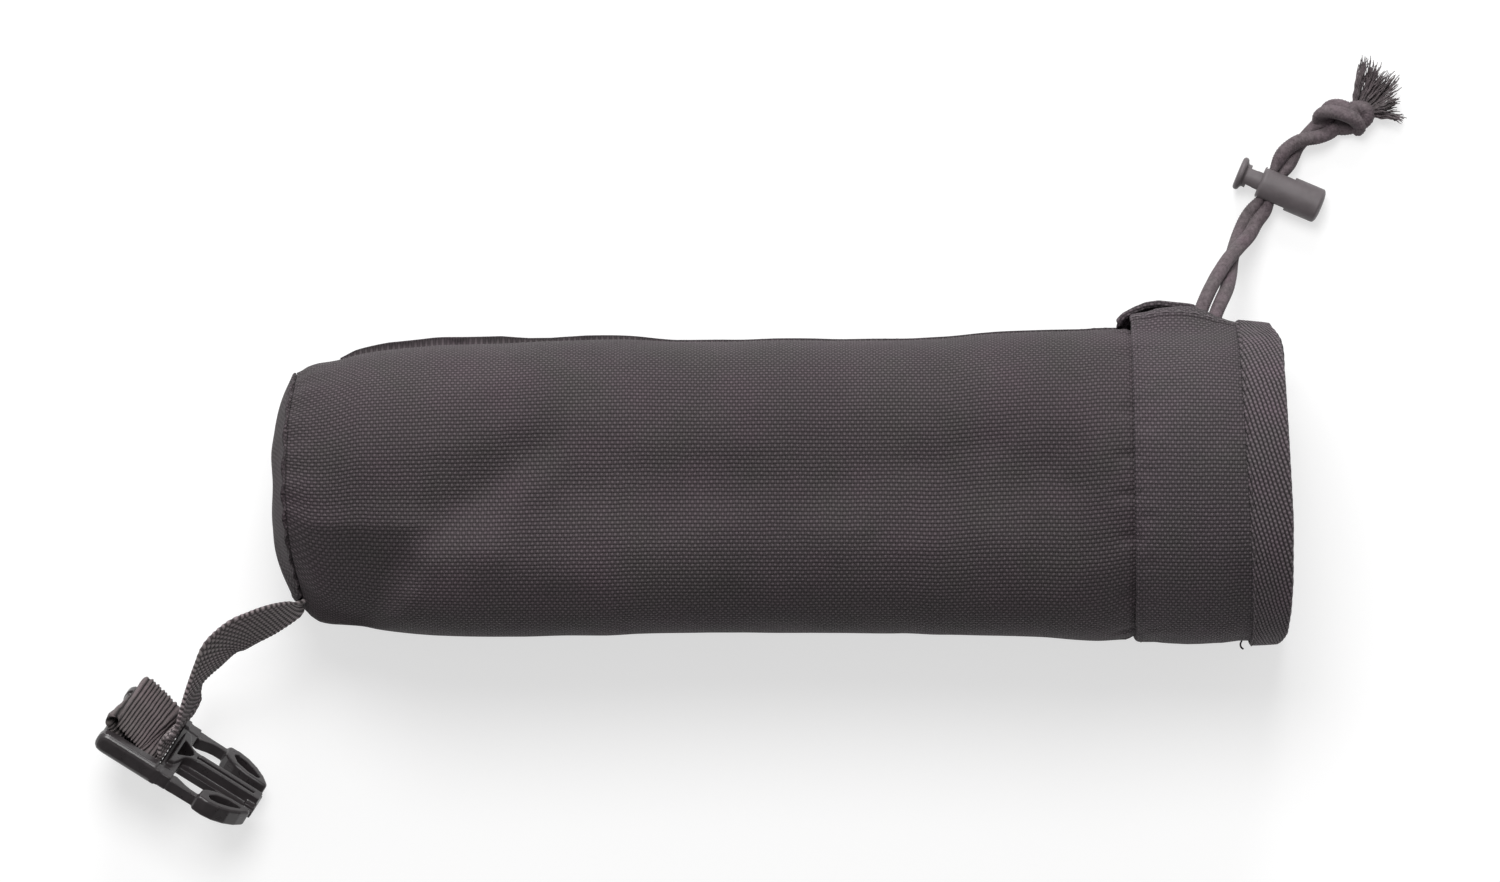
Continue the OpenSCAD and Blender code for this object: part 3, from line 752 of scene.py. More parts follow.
def fibre(pts, r, sides=5, n=26):
    P, s = resample(pts, n=n)
    T, N, B = transport(P, (0.3, 0.2, 1))
    th = np.linspace(0, 2 * np.pi, sides, endpoint=False)
    rr = r * (1 - 0.5 * smooth01((np.linspace(0, 1, n) - 0.8) / 0.2))
    Q = P[:, None] + (N[:, None] * np.cos(th)[:, None] + B[:, None] * np.sin(th)[:, None]) * rr[:, None, None]
    base = sum(len(c) for c in fib_co)
    fib_co.append(Q.reshape(-1, 3))
    fib_q.append(grid_quads(n, sides, True, base, flip=True))


for k, tip in enumerate(TIPS):
    f = k / (len(TIPS) - 1)
    root = np.array([1356 + 16 * f ** 0.8, 105.5 + 8.5 * f ** 1.4])
    for layer in range(2):
        tz = 2.2 + 5.5 * rng.random() - layer * 0.6
        tip_j = np.array(tip) + rng.normal(0, 1.0, 2) * (1.0 if layer else 0.4)
        cut_back = 1.0 if layer == 0 else 0.68 + 0.26 * rng.random()
        end = root + (tip_j - root) * cut_back
        bow = rng.normal(0, 1.6, 2)
        n_f = 9 if layer == 0 else 7
        for m in range(n_f):
            a = 2 * np.pi * m / n_f + rng.random()
            w0, w1 = 1.5, 2.2 + 1.6 * rng.random()
            side = np.array([math.cos(a), math.sin(a)])
            ph = rng.random() * 6.28
            pts = []
            length = np.linalg.norm(end - root)
            stop = 1 - 0.16 * rng.random() ** 2
            for q in np.linspace(0, stop, 9):
                p = root + (end - root) * q + bow * math.sin(math.pi * q) + side * (w0 + (w1 - w0) * q ** 3)
                z = 4.6 + (tz - 4.6) * q + 0.42 * math.sin(a + 1.0) * (1 + q)
                wob = 0.55 * math.sin(ph + q * length * 0.55)
                d = (end - root) / length
                pts.append((p[0] - d[1] * wob, p[1] + d[0] * wob, max(z, 0.4)))
            fibre(px(pts), 0.15 + 0.05 * rng.random())
tassel = make_mesh("drawcord_frayed_ends", np.concatenate(fib_co), np.concatenate(fib_q))
paint(tassel, M_FRAY)
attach(tassel, "bag")
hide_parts("drawcord_tassel")

# The loop inside the casing, from one side of its opening round to the other.
loop_pts = [[121, 44.6, 43.1], [121, 42.9, 46.4]]
for k in range(25):
    f = math.radians(12 + k * 336 / 24)
    loop_pts.append([121, 43.0 * math.cos(f), max(3.4, 41 + 43.0 * math.sin(f))])
loop_pts += [[121, 42.9, 35.6], [121, 44.6, 38.9]]
loop, _ = braid_tube("drawcord_in_casing", loop_pts, 2.0, step=0.4, around=32, amp=0.2, start=(1, 0, 0))
paint(loop, M_CORD)
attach(loop, "bag")
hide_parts("drawcord_loop")


def lock_mat(extra=(0, 0, 0)):
    m = Matrix(((E1[0], P1[0], 0, LOCK_P[0] * MM), (E1[1], P1[1], 0, LOCK_P[1] * MM), (0, 0, 1, LOCK_P[2] * MM),
                (0, 0, 0, 1)))
    return m


def arc_pts(cx, cr, r, a0, a1, n=7):
    return [(cx + r * math.cos(math.radians(a)), cr + r * math.sin(math.radians(a))) for a in np.linspace(a0, a1, n)]


# Barrel: rounded shoulder at its open rim, blunt cone at the closed end.
prof = [(0.35, 3.95)] + [(0.15, 4.05)] + arc_pts(1.3, 3.75, 1.3, 175, 90, 9) + [(1.35, 5.05), (17.9, 5.05)] \
    + arc_pts(17.9, 4.35, 0.7, 90, 20, 6) + [(18.9, 3.9), (19.15, 2.2), (19.2, 0.05)]
prof = [(0.5, 0.05)] + prof
barrel = revolve(prof, "barrel", 96)
cut(barrel, revolve([(-2, 0.05), (-2, 3.9), (18.2, 3.9), (18.2, 0.05)], "bore", 72))
cut(barrel, box3(0.62, 9.28, -9, 9, -2.3, 2.3, "slot"))
barrel = moulded("cord_lock_barrel_moulded", [barrel], voxel=0.16, smooth=5, place=lock_mat(), decimate=None)
paint(barrel, M_LOCK)
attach(barrel, "cord_lock")
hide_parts("cord_lock_barrel")

# Plunger: dished flange, waisted neck, cross slot for the cords.
prof = [(-6.55, 0.05), (-6.6, 2.6), (-6.8, 3.2)] + arc_pts(-5.85, 4.0, 0.9, 170, 10, 11) \
    + [(-4.75, 3.6), (-4.4, 3.35), (-3.0, 3.45), (0.5, 3.6), (11.3, 3.6), (11.6, 3.3), (11.6, 0.05)]
plunger = revolve(prof, "plunger", 96)
cut(plunger, box3(-3.5, 9.2, -9, 9, -2.3, 2.3, "slot"))
plunger = moulded("cord_lock_plunger_moulded", [plunger], voxel=0.16, smooth=4, place=lock_mat(), decimate=None)
paint(plunger, M_LOCK)
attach(plunger, "lock_plunger")
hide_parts("cord_lock_plunger")

# Spring: ground end turns closed up, open turns between.
turns = 5.6
ts = np.linspace(0, 1, 150)
adv = np.interp(ts, [0, 0.17, 0.83, 1], [0, 0.07, 0.93, 1])
sp = np.stack([12.02 + 5.2 * adv, 2.65 * np.cos(ts * turns * 2 * np.pi), 2.65 * np.sin(ts * turns * 2 * np.pi)], 1)
T, N, B = transport(sp, (1, 0, 0))
th = np.linspace(0, 2 * np.pi, 12, endpoint=False)
Q = sp[:, None] + 0.33 * (N[:, None] * np.cos(th)[:, None] + B[:, None] * np.sin(th)[:, None])
spring = make_mesh("cord_lock_spring_wire", Q.reshape(-1, 3), grid_quads(len(sp), 12, True, flip=True))
fix_normals(spring)
spring.data.transform(lock_mat())
paint(spring, M_STEEL)
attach(spring, "cord_lock")
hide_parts("cord_lock_spring")
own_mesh(spring)

lengths = []
for ob, line in strands:
    d = float(np.linalg.norm(np.diff(line, axis=0), axis=1).sum()) * MM
    lengths.append(round(d, 3))
print("cord lengths", lengths)
# ------------------------------------------------------------------ bag surface
# Plan outline of the bag at stations along X (mm): side towards +Y, side towards -Y.
SIL = np.array([
    (-138.0, 32.0, -33.2), (-136.4, 33.0, -35.2), (-135.3, 33.8, -36.4), (-134.1, 34.3, -37.7),
    (-131.9, 35.0, -38.9), (-128.4, 35.6, -39.4), (-126.0, 36.2, -39.5), (-120.4, 37.8, -39.8),
    (-114.7, 38.7, -40.9), (-109.0, 39.3, -41.7), (-103.0, 39.8, -42.3), (-97.6, 40.3, -42.6),
    (-80.0, 40.8, -42.9), (-66.0, 41.5, -42.9), (-52.0, 41.8, -42.9), (-40.0, 41.6, -42.3),
    (-29.0, 41.3, -42.0), (5.0, 41.6, -42.0), (34.0, 41.7, -42.0), (45.0, 42.0, -42.6),
    (57.0, 43.2, -42.6), (74.0, 44.2, -43.1), (85.0, 44.5, -44.0), (91.0, 45.0, -44.3),
    (98.0, 45.2, -44.1), (102.0, 45.3, -44.2), (120.0, 45.2, -44.3), (132.0, 45.3, -44.4), (145.0, 45.0, -44.4)])
TOPZ = np.array([(-138, 74.0), (-134, 77.0), (-128, 79.2), (-118, 80.8), (-104, 81.8), (-90, 82.2), (-60, 82.4),
                 (0, 82.4), (45, 82.7), (60, 83.5), (80, 84.8), (92, 85.4), (102, 86.0), (145, 86.2)])
LOWZ = np.array([(-138, 6.5), (-134, 3.2), (-128, 1.1), (-120, 0.3), (-112, 0.0), (145, 0.0)])
GROOVE = np.array([(-33.2, -136.2), (-25.1, -138.3), (-18.0, -139.9), (-12.6, -140.6), (-2.3, -141.3), (5.4, -141.1),
                   (19.1, -140.5), (27.4, -139.1), (32.0, -138.3)])
MOUTH = np.array([(-45.5, 140.2), (-44.5, 141.5), (-43.7, 142.6), (-42.0, 143.8), (-36, 144.6), (-28.0, 145.0),
                  (-10.0, 145.0), (9.0, 143.9), (31.0, 142.7), (39.0, 142.0), (42.0, 141.3), (44.0, 140.2),
                  (45.4, 138.4), (46.4, 137.0)])
DENSE = np.linspace(0, 2 * np.pi, 1441)


def sections(X):
    """Cross-sections at stations X: (n, 1441) y and z, and the arc share of each point."""
    yt, yb = lerp_tab(X, SIL[:, 0], SIL[:, 1]), lerp_tab(X, SIL[:, 0], SIL[:, 2])
    zt, zl = lerp_tab(X, TOPZ[:, 0], TOPZ[:, 1]), lerp_tab(X, LOWZ[:, 0], LOWZ[:, 1])
    a, yc, zm = (yt - yb) / 2, (yt + yb) / 2, 40.0
    nt = np.interp(X, [-138, -120, 90, 110], [2.15, 2.38, 2.38, 2.25])
    c, s = np.cos(DENSE), np.sin(DENSE)
    ct, st = np.abs(c)[None], np.abs(s)[None]
    front = np.interp(X, [-138, -118, 80, 98], [0.0, 0.85, 0.85, 0.15])[:, None]
    e_top = np.where(c[None] < 0, 2 / (nt[:, None] + front), 2 / nt[:, None])
    e = np.where(s[None] >= 0, e_top, 2 / (nt[:, None] + 0.25))
    y = yc[:, None] + a[:, None] * np.sign(c)[None] * ct ** e
    z = np.where(s[None] >= 0, zm + (zt - zm)[:, None] * st ** e, zm - (zm - zl)[:, None] * st ** e)
    d = np.sqrt(np.diff(y, axis=1) ** 2 + np.diff(z, axis=1) ** 2)
    arc = np.concatenate([np.zeros((len(X), 1)), np.cumsum(d, 1)], 1)
    return y, z, arc / arc[:, -1:]


def bumps(X, Y, list_):
    out = 0
    for (x0, y0, rx, ry, ang, h) in list_:
        ca, sa = math.cos(math.radians(ang)), math.sin(math.radians(ang))
        u, v = (X - x0) * ca + (Y - y0) * sa, -(X - x0) * sa + (Y - y0) * ca
        out = out + h * np.exp(-(u / rx) ** 2 - (v / ry) ** 2)
    return out


def sag(X, Y, Z):
    """Dents of the top of the bag, downwards, in mm."""
    # the bag's lower corner by the base is slack: its top falls away to the floor
    ramp = np.clip((-10.5 - Y) / 20.0, 0, 1.3)
    ramp = np.where(ramp > 0, np.sqrt(ramp ** 2 + 0.004) - 0.063, 0)
    part = smooth01((-92.0 + 0.55 * (Y + 11) - X) / 14.0)
    h = -11.5 * ramp * part
    # a fold that runs up from it across the bag, and the swell beside it
    p0, d = np.array([-99.0, -14.5]), np.array([0.75, 0.661])
    t = (X - p0[0]) * d[0] + (Y - p0[1]) * d[1]
    n = (X - p0[0]) * d[1] - (Y - p0[1]) * d[0]
    win = smooth01((t + 8) / 14) * smooth01((56 - t) / 22)
    h = h - 3.0 * win * np.exp(-np.where(n < 0, n / 9.0, n / 6.0) ** 2)
    h = h - 2.6 * np.exp(-((Y - 2.0) / 17.0) ** 2) * smooth01((X + 125) / 30) * smooth01((92 - X) / 12)
    h = h + bumps(X, Y, [(-84, -21, 9, 7, 45, 2.2), (-74, -3, 16, 7, 42, 0.9), (-107, 6, 16, 13, 0, 0.8),
                         (-62, -33, 7, 5, 0, -1.2), (-119, -24, 9, 8, 20, -0.9), (-104, -27, 5, 6, -20, -1.3),
                         (-128, 22, 7, 8, 0, 0.5), (-88, 27, 14, 5, 8, 0.4), (-10, 2, 26, 8, 0, -0.7),
                         (40, 7, 18, 7, 8, -0.8), (12, -14, 13, 8, 0, 0.5), (60, -12, 14, 8, 0, 0.5),
                         (75, 6, 9, 8, 0, -0.6), (-40, 12, 10, 9, 30, 0.5)])
    h = h + 0.42 * vnoise(np.stack([X / 19, Y / 13, Z / 40], -1), 2) + 0.20 * vnoise(np.stack([X / 7.5, Y / 6, Z / 12], -1), 3)
    return h


def surface(X, F, off=0.0, lift=True):
    """Points on the bag's outside. X: (n,) or (n, m) stations; F: (m,) or (n, m) shares of the way round."""
    X, F = np.asarray(X, float), np.asarray(F, float)
    if X.ndim == 1:
        X = np.repeat(X[:, None], F.shape[-1], 1)
    if F.ndim == 1:
        F = np.repeat(F[None], X.shape[0], 0)
    n, m = X.shape
    # sections are worked out on a fine ladder of stations, then read between rungs
    rungs = np.concatenate([np.linspace(-138, -126, 25), np.linspace(-125.2, 145, 200)])
    y, z, share = sections(rungs)
    fs = np.linspace(0, 1, 721)
    ys = np.stack([np.interp(fs, share[i], y[i]) for i in range(len(rungs))])
    zs = np.stack([np.interp(fs, share[i], z[i]) for i in range(len(rungs))])
    i = np.clip(np.searchsorted(rungs, X) - 1, 0, len(rungs) - 2)
    a = np.clip((X - rungs[i]) / (rungs[i + 1] - rungs[i]), 0, 1)
    Fw = np.mod(F, 1.0) * 720
    j = np.clip(np.floor(Fw).astype(int), 0, 719)
    b = Fw - j

    def read(t):
        return ((1 - a) * ((1 - b) * t[i, j] + b * t[i, j + 1]) + a * ((1 - b) * t[i + 1, j] + b * t[i + 1, j + 1]))

    Y, Z = read(ys), read(zs)
    # direction outwards within the section
    j2, j0 = np.clip(j + 2, 0, 720), np.clip(j - 1, 0, 720)
    ty, tz = read(np.roll(ys[:, :-1], -3, 1)[:, np.r_[0:720, 0]]) - read(np.roll(ys[:, :-1], 3, 1)[:, np.r_[0:720, 0]]), \
        read(np.roll(zs[:, :-1], -3, 1)[:, np.r_[0:720, 0]]) - read(np.roll(zs[:, :-1], 3, 1)[:, np.r_[0:720, 0]])
    ln = np.hypot(ty, tz) + 1e-9
    ny, nz = tz / ln, -ty / ln
    TH = 2 * np.pi * F
    # gathers into the base seam
    near = np.exp(-(X + 138) / 5.0)
    o = off + near * (0.34 * np.sin(27 * TH + 2.2 * np.sin(3 * TH)) + 0.3 * vnoise(np.stack([X / 4, 5 * np.cos(TH), 5 * np.sin(TH)], -1), 9))
    # small dimples that the casing's seam pulls into the canvas
    pull = np.exp(-((X - 98.5) / 3.2) ** 2)
    dim = np.clip(np.sin(19 * TH + 1.7 * np.sin(4 * TH) + 0.6), 0, 1) ** 2
    o = o - 0.75 * pull * dim - 0.35 * np.exp(-((X - 100) / 7.0) ** 2)
    o = o + 0.30 * vnoise(np.stack([X / 15, 3.2 * np.cos(TH), 3.2 * np.sin(TH)], -1), 4) * smooth01((Z - 1.5) / 8)
    Y, Z = Y + ny * o, Z + nz * o
    if lift:
        w = smooth01((Z - 42) / 26.0) * smooth01((112 - X) / 14.0 + 0.25)
        Z = Z + w * sag(X, Y, Z)
    side = smooth01((Z - 30) / 20.0)
    seam = np.interp(Y, GROOVE[:, 0], GROOVE[:, 1]) * side + (1 - side) * (-138.6) + 138.0
    XX = X + seam * np.exp(-(X + 138) / 8.0)
    rim = np.interp(Y, MOUTH[:, 0], MOUTH[:, 1]) - 144.5
    rim = rim * (0.35 + 0.65 * smooth01((Z - 10) / 26.0))
    XX = XX + rim * np.clip((X - 112) / 32.5, 0, 1.05) ** 3
    return np.stack([XX, Y, np.maximum(Z, 0.02 + max(0.0, -off) if off <= 0 else 0.02)], -1)


AROUND = 264.0
Q = 0
nv = 200 if Q else 330
F = np.linspace(0, 1, nv, endpoint=False)

# Body panel: canvas from the base seam to the mouth, drawn in under the casing for the cord's tunnel.
Xb = np.concatenate([np.linspace(-138, -132, 16)[:-1], np.linspace(-132, 99.5, 120 if Q else 205)[:-1],
                     np.linspace(99.5, 143.2, 40)])
offb = np.interp(Xb, [-138, 98.8, 101.0, 104, 109, 126, 130.5, 144], [0, 0, -1.45, -1.6, -5.2, -5.2, -1.6, -1.6])
P = surface(Xb, F)
Nn = grid_normals(P, True)
outer = P + Nn * 0
for k, o in enumerate(offb):
    if o < 0:
        outer[k] = surface(Xb[k:k + 1], F, lift=True)[0] + Nn[k] * o
        outer[k, :, 2] = np.maximum(outer[k, :, 2], -o * 0.98)
# roll of the canvas into the base seam
roll = [(1.9, -2.6), (0.9, -1.5), (0.25, -0.55)]
first = outer[0]
cen = np.array([first[:, 0].mean(), first[:, 1].mean(), 40.0])
rad = unit((first - cen) * [0, 1, 1])
tuck = np.stack([first + [dx, 0, 0] + rad * dr for dx, dr in roll])
outer = np.concatenate([tuck, outer])
ub = np.concatenate([Xb[0] - 3 + np.arange(3), Xb])
Nn = grid_normals(outer, True)
inner = outer - Nn * 1.15
inner[..., 2] = np.maximum(inner[..., 2], outer[..., 2].min(axis=1, keepdims=True) + 1.1)
U = np.repeat(ub[:, None], nv, 1)
V = np.repeat(F[None] * AROUND, len(ub), 0)
body = shell("body_canvas", outer, inner, True, U, V, np.full(len(ub), AROUND))
fix_normals(body)
paint(body, M_CANVAS)
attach(body, "bag")
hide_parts("body_panel")
SEAM_RING = first

# Base panel: a round of canvas that bulges past its seam, with its edge turned in.
rho = np.concatenate([[0.945, 0.975, 0.995, 1.0], np.linspace(0.992, 0.9, 8), np.linspace(0.885, 0.0, 34)])
tuckx = np.concatenate([[1.7, 0.75, 0.12, -0.35], np.zeros(42)])
ring = SEAM_RING
cy, cz = 1.0, 40.0
xs = ring[:, 0]
TH = 2 * np.pi * F
rows = []
for k, (r, tx) in enumerate(zip(rho, tuckx)):
    xd = -145.6 + 7.1 * r ** 3.2
    x = xd + (xs - (-138.5)) * r ** 6 + tx - (0.9 if k > 3 else 0.55) * r ** 8
    y = cy + (ring[:, 1] - cy) * r
    z = cz + (ring[:, 2] - cz) * r
    ripple = 0.35 * np.sin(27 * TH + 2.2 * np.sin(3 * TH) + 0.8) * r ** 9 + \
        0.35 * vnoise(np.stack([y / 9, z / 9, np.zeros_like(y)], -1), 21) * (1 - r ** 6)
    rows.append(np.stack([x + ripple, y, np.maximum(z, 0.05)], -1))
outer = np.stack(rows)
Nn = grid_normals(outer, True)
if (Nn[20] * [-1, 0, 0]).sum() < 0:
    Nn = -Nn
Nn[-3:] = [-1, 0, 0]
inner = outer - Nn * 1.1
base = shell("base_canvas", outer, inner, True, outer[..., 1] * 0.707 + outer[..., 2] * 0.707,
             outer[..., 2] * 0.707 - outer[..., 1] * 0.707, (outer[:, 0, 2] - outer[:, 0, 1]) * 0.707)
bm = bmesh.new()
bm.from_mesh(base.data)
bmesh.ops.remove_doubles(bm, verts=bm.verts, dist=0.00002)
bmesh.ops.holes_fill(bm, edges=[e for e in bm.edges if e.is_boundary], sides=0)
bmesh.ops.recalc_face_normals(bm, faces=bm.faces)
bm.to_mesh(base.data)
bm.free()
paint(base, M_CANVAS)
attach(base, "bag")
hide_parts("base_panel")


# Tape bound over the raw edges inside the base seam.
def closed_ring(name, rows, mat, node, uscale=1.0):
    """Ring of a closed cross-section: rows (n around, k across, 3)."""
    rows = np.asarray(rows)
    n, k = rows.shape[:2]
    P = np.transpose(rows, (1, 0, 2))
    co = P.reshape(-1, 3)
    i, j = np.meshgrid(np.arange(k), np.arange(n), indexing="ij")
    i2, j2 = (i + 1) % k, (j + 1) % n
    q = np.stack([i * n + j, i * n + j2, i2 * n + j2, i2 * n + j], -1).reshape(-1, 4)
    s = np.concatenate([[0], np.cumsum(np.linalg.norm(np.diff(np.concatenate([P, P[:1]]), axis=0), axis=2).mean(1))])
    v = np.arange(n + 1) / n * AROUND * uscale
    uv = np.stack([np.stack([s[i], v[j]], -1), np.stack([s[i], v[j + 1]], -1), np.stack([s[i + 1], v[j + 1]], -1),
                   np.stack([s[i + 1], v[j]], -1)], 2).reshape(-1, 2)
    ob = make_mesh(name, co, q, uv)
    fix_normals(ob)
    paint(ob, mat)
    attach(ob, "bag")
    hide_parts(node)
    return ob


prof = [(2.2, -1.6), (4.0, -1.5), (8.2, -1.6), (9.0, -2.2), (9.1, -3.0), (8.3, -3.7), (4.0, -3.8), (2.2, -3.6)]
rows = []
cen = np.array([0, 1.0, 40.0])
for j in range(nv):
    p = SEAM_RING[j]
    out = unit((p - cen) * [0, 1, 1])
    wave = 0.25 * math.sin(23 * TH[j])
    rows.append([p + [dx, 0, 0] + out * (dr + wave - 0.6) for dx, dr in prof])
closed_ring("base_seam_tape", rows, M_TAPE, "base_seam_binding")


# ------------------------------------------------------------------ stitching
def stitches(name, pts, nrm, length=2.6, gap=0.7, r=0.26, dip=0.25, closed=False, mat=None, node=(),
             body_name="bag"):
    """Lockstitches along a line on a surface: thread that rises between the needle holes."""
    pts, nrm = np.asarray(pts, float), unit(nrm)
    if closed:
        pts, nrm = np.concatenate([pts, pts[:1]]), np.concatenate([nrm, nrm[:1]])
    s = np.concatenate([[0], np.cumsum(np.linalg.norm(np.diff(pts, axis=0), axis=1))])
    n = int(s[-1] / (length + gap))
    co, q = [], []
    sides, rings = 7, 8
    for k in range(n):
        s0 = (k + 0.5) * s[-1] / n - length / 2
        t = np.linspace(0, 1, rings)
        ss = s0 + t * length
        p = np.stack([np.interp(ss, s, pts[:, a]) for a in range(3)], 1)
        m = unit(np.stack([np.interp(ss, s, nrm[:, a]) for a in range(3)], 1))
        rise = np.sin(np.pi * t) ** 0.5
        p = p + m * ((rise * (r + dip) - dip)[:, None])
        d = unit(np.gradient(p, axis=0))
        b = np.cross(d, m)
        rr = r * (0.55 + 0.45 * np.sin(np.pi * t) ** 0.6)
        th = np.linspace(0, 2 * np.pi, sides, endpoint=False)
        ringp = p[:, None] + (m[:, None] * np.cos(th)[:, None] * 0.8 + b[:, None] * np.sin(th)[:, None]) * rr[:, None, None]
        base_i = k * rings * sides
        co.append(ringp.reshape(-1, 3))
        q.append(grid_quads(rings, sides, True, base_i))
    ob = make_mesh(name, np.concatenate(co), np.concatenate(q))
    fix_normals(ob)
    paint(ob, mat or M_THREAD)
    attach(ob, body_name)
    if node:
        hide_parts(*([node] if isinstance(node, str) else node))
    return ob


# Row of thread that closes the base seam, on the tape inside.
pts = np.array([r[2] for r in rows]) + [-1.2, 0, 0]
stitches("base_seam_stitches", np.array([0.5 * (np.array(r[6]) + np.array(r[5])) for r in rows]),
         -unit((SEAM_RING - cen) * [0, 1, 1]), 2.8, 0.6, 0.25, closed=True, node="base_seam_thread")

# Lengthwise seam: the lapped edge stands a little proud on the side towards +Y.
xs_f = np.linspace(-126, 98, 260)
fold = np.interp(xs_f, [-126, -122, -112, -96, -80, -72, -66, -56, -40, -30, 40, 98],
                 [0.2, 1.2, 2.0, 2.1, 1.9, 1.0, 0.7, 1.1, 0.8, 0.35, 0.3, 0.2])
fold = fold + 0.12 * vnoise(np.stack([xs_f / 9, xs_f * 0, xs_f * 0], -1), 31)
prof_f = [-0.0105, -0.0085, -0.0062, -0.0040, -0.0022, -0.0012, -0.0006, 0.0002]
prof_h = [0.02, 0.38, 0.62, 0.82, 0.95, 0.80, 0.35, -0.25]
Fs = 0.985 + np.array(prof_f)[None] + 0 * xs_f[:, None]
lay = surface(np.repeat(xs_f[:, None], 8, 1), Fs)
nn = surface(np.repeat(xs_f[:, None], 8, 1), Fs, off=1.0) - lay
fell = lay + nn * (np.array(prof_h)[None, :, None] * (fold[:, None, None] + 0.35))
under_l = lay - nn * 0.5
seam_ob = shell("side_seam_lap", fell, under_l, False, np.repeat(xs_f[:, None], 8, 1), Fs * AROUND)
fix_normals(seam_ob)
paint(seam_ob, M_CANVAS)
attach(seam_ob, "bag")
stitches("side_seam_stitches", fell[:, 1] + 0.0, nn[:, 1], 2.9, 0.6, 0.24, node="side_seam_thread")

# ------------------------------------------------------------------ casing
LIP_U = np.array([(98, 46.6), (100, 47.9), (102, 48.5), (104.1, 49.0), (107.3, 49.9), (113, 50.2), (117.3, 50.1),
                  (120.5, 49.2), (123.9, 47.5), (127.5, 46.8), (131, 46.6), (137, 46.4), (145, 46.0)])
LIP_L = np.array([(96, 46.5), (98, 48.6), (101.3, 50.6), (104.1, 51.7), (107.8, 52.1), (111.3, 51.6), (117.3, 50.9),
                  (120.5, 49.0), (124, 46.9), (128, 46.3), (137, 46.3), (145, 46.0)])
GAP_U = np.array([(98, 0.7), (101, 1.4), (104, 2.4), (108, 3.2), (113, 3.4), (118, 3.5), (122, 3.5), (125, 2.4),
                  (128, 1.0), (131, 0.6), (145, 0.6)])
GAP_L = np.array([(98, 1.0), (101, 2.2), (104, 3.4), (108, 4.2), (113, 4.0), (118, 3.6), (122, 3.4), (125, 2.3),
                  (128, 0.9), (131, 0.6), (145, 0.6)])
Xc = np.concatenate([np.linspace(100.2, 101.4, 5)[:-1], np.linspace(101.4, 142.8, 46 if Q else 74)])
nc = 210 if Q else 360
Fc = np.linspace(0.012, 0.988, nc)


def casing_pts(X, Fv, off):
    """Casing surface with the two lips flared at its opening. X (n,), Fv (m,)."""
    X = np.asarray(X, float)
    # edge by the body slants a little, and peels back under the lower lip
    XX = np.repeat(X[:, None], len(Fv), 1)
    left = 1 - smooth01((XX - 100) / 22.0)
    low = smooth01((Fv - 0.93) / 0.058)[None]
    Pp = surface(XX, Fv, off=off)
    slant = -0.018 * (Pp[..., 1]) * left * smooth01((Pp[..., 2] - 20) / 20)
    Pp[..., 0] += slant - 3.8 * left * low
    for lo, (lip, gap, sgn) in ((0, (LIP_U, GAP_U, 1)), (1, (LIP_L, GAP_L, -1))):
        d = (Fv if lo == 0 else 1 - Fv) - 0.012
        w = smooth01(1 - d * AROUND * 1.06 / 15.0)[None]
        edge = Pp[:, 0] if lo == 0 else Pp[:, -1]
        ex = edge[:, 0]
        dy = np.interp(ex, lip[:, 0], lip[:, 1]) - edge[:, 1] + (off - 0.0)
        dz = 41 + sgn * np.interp(ex, gap[:, 0], gap[:, 1]) - edge[:, 2]
        Pp[..., 1] += w * dy[:, None]
        Pp[..., 2] += w ** 1.6 * dz[:, None]
    return Pp


def edge_round(Xs):
    """The folded edge by the body: rises quickly from the canvas under it."""
    return np.interp(Xs, [100.2, 100.35, 100.65, 101.1, 102.2, 106], [-0.9, -0.1, 0.35, 0.55, 0.5, 0.1])


tunnel = np.interp(Xc, [101, 108, 116, 126, 131, 143], [0, 0.35, 0.6, 0.3, -0.35, -0.4])
outer = casing_pts(Xc, Fc, 0.0)
Nn = grid_normals(outer, False)
if Nn[20, nc // 4, 2] < 0:
    Nn = -Nn
pk = 0.22 * vnoise(np.stack([outer[..., 0] / 7, outer[..., 1] / 7, outer[..., 2] / 7], -1), 41)
pull = np.exp(-((Xc - 104.5) / 2.6) ** 2)[:, None] * np.clip(np.sin(21 * 2 * np.pi * Fc + 1.1), 0, 1)[None] ** 2
outer = outer + Nn * ((edge_round(Xc) + tunnel)[:, None] + pk - 0.35 * pull)[..., None]
outer[..., 2] = np.maximum(outer[..., 2], 0.02)
inner = outer - Nn * 0.95
inner[..., 2] = np.maximum(inner[..., 2], 0.9 + 0 * inner[..., 2]) * (inner[..., 2] < 4) + inner[..., 2] * (inner[..., 2] >= 4)
Uc, Vc = np.repeat(Xc[:, None], nc, 1), np.repeat(Fc[None] * AROUND * 1.04, len(Xc), 0)
casing = shell("casing_canvas", outer, inner, False, Uc, Vc)
fix_normals(casing)
paint(casing, M_CASING)
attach(casing, "bag")
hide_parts("drawcord_casing")
CAS, CASN = outer, Nn

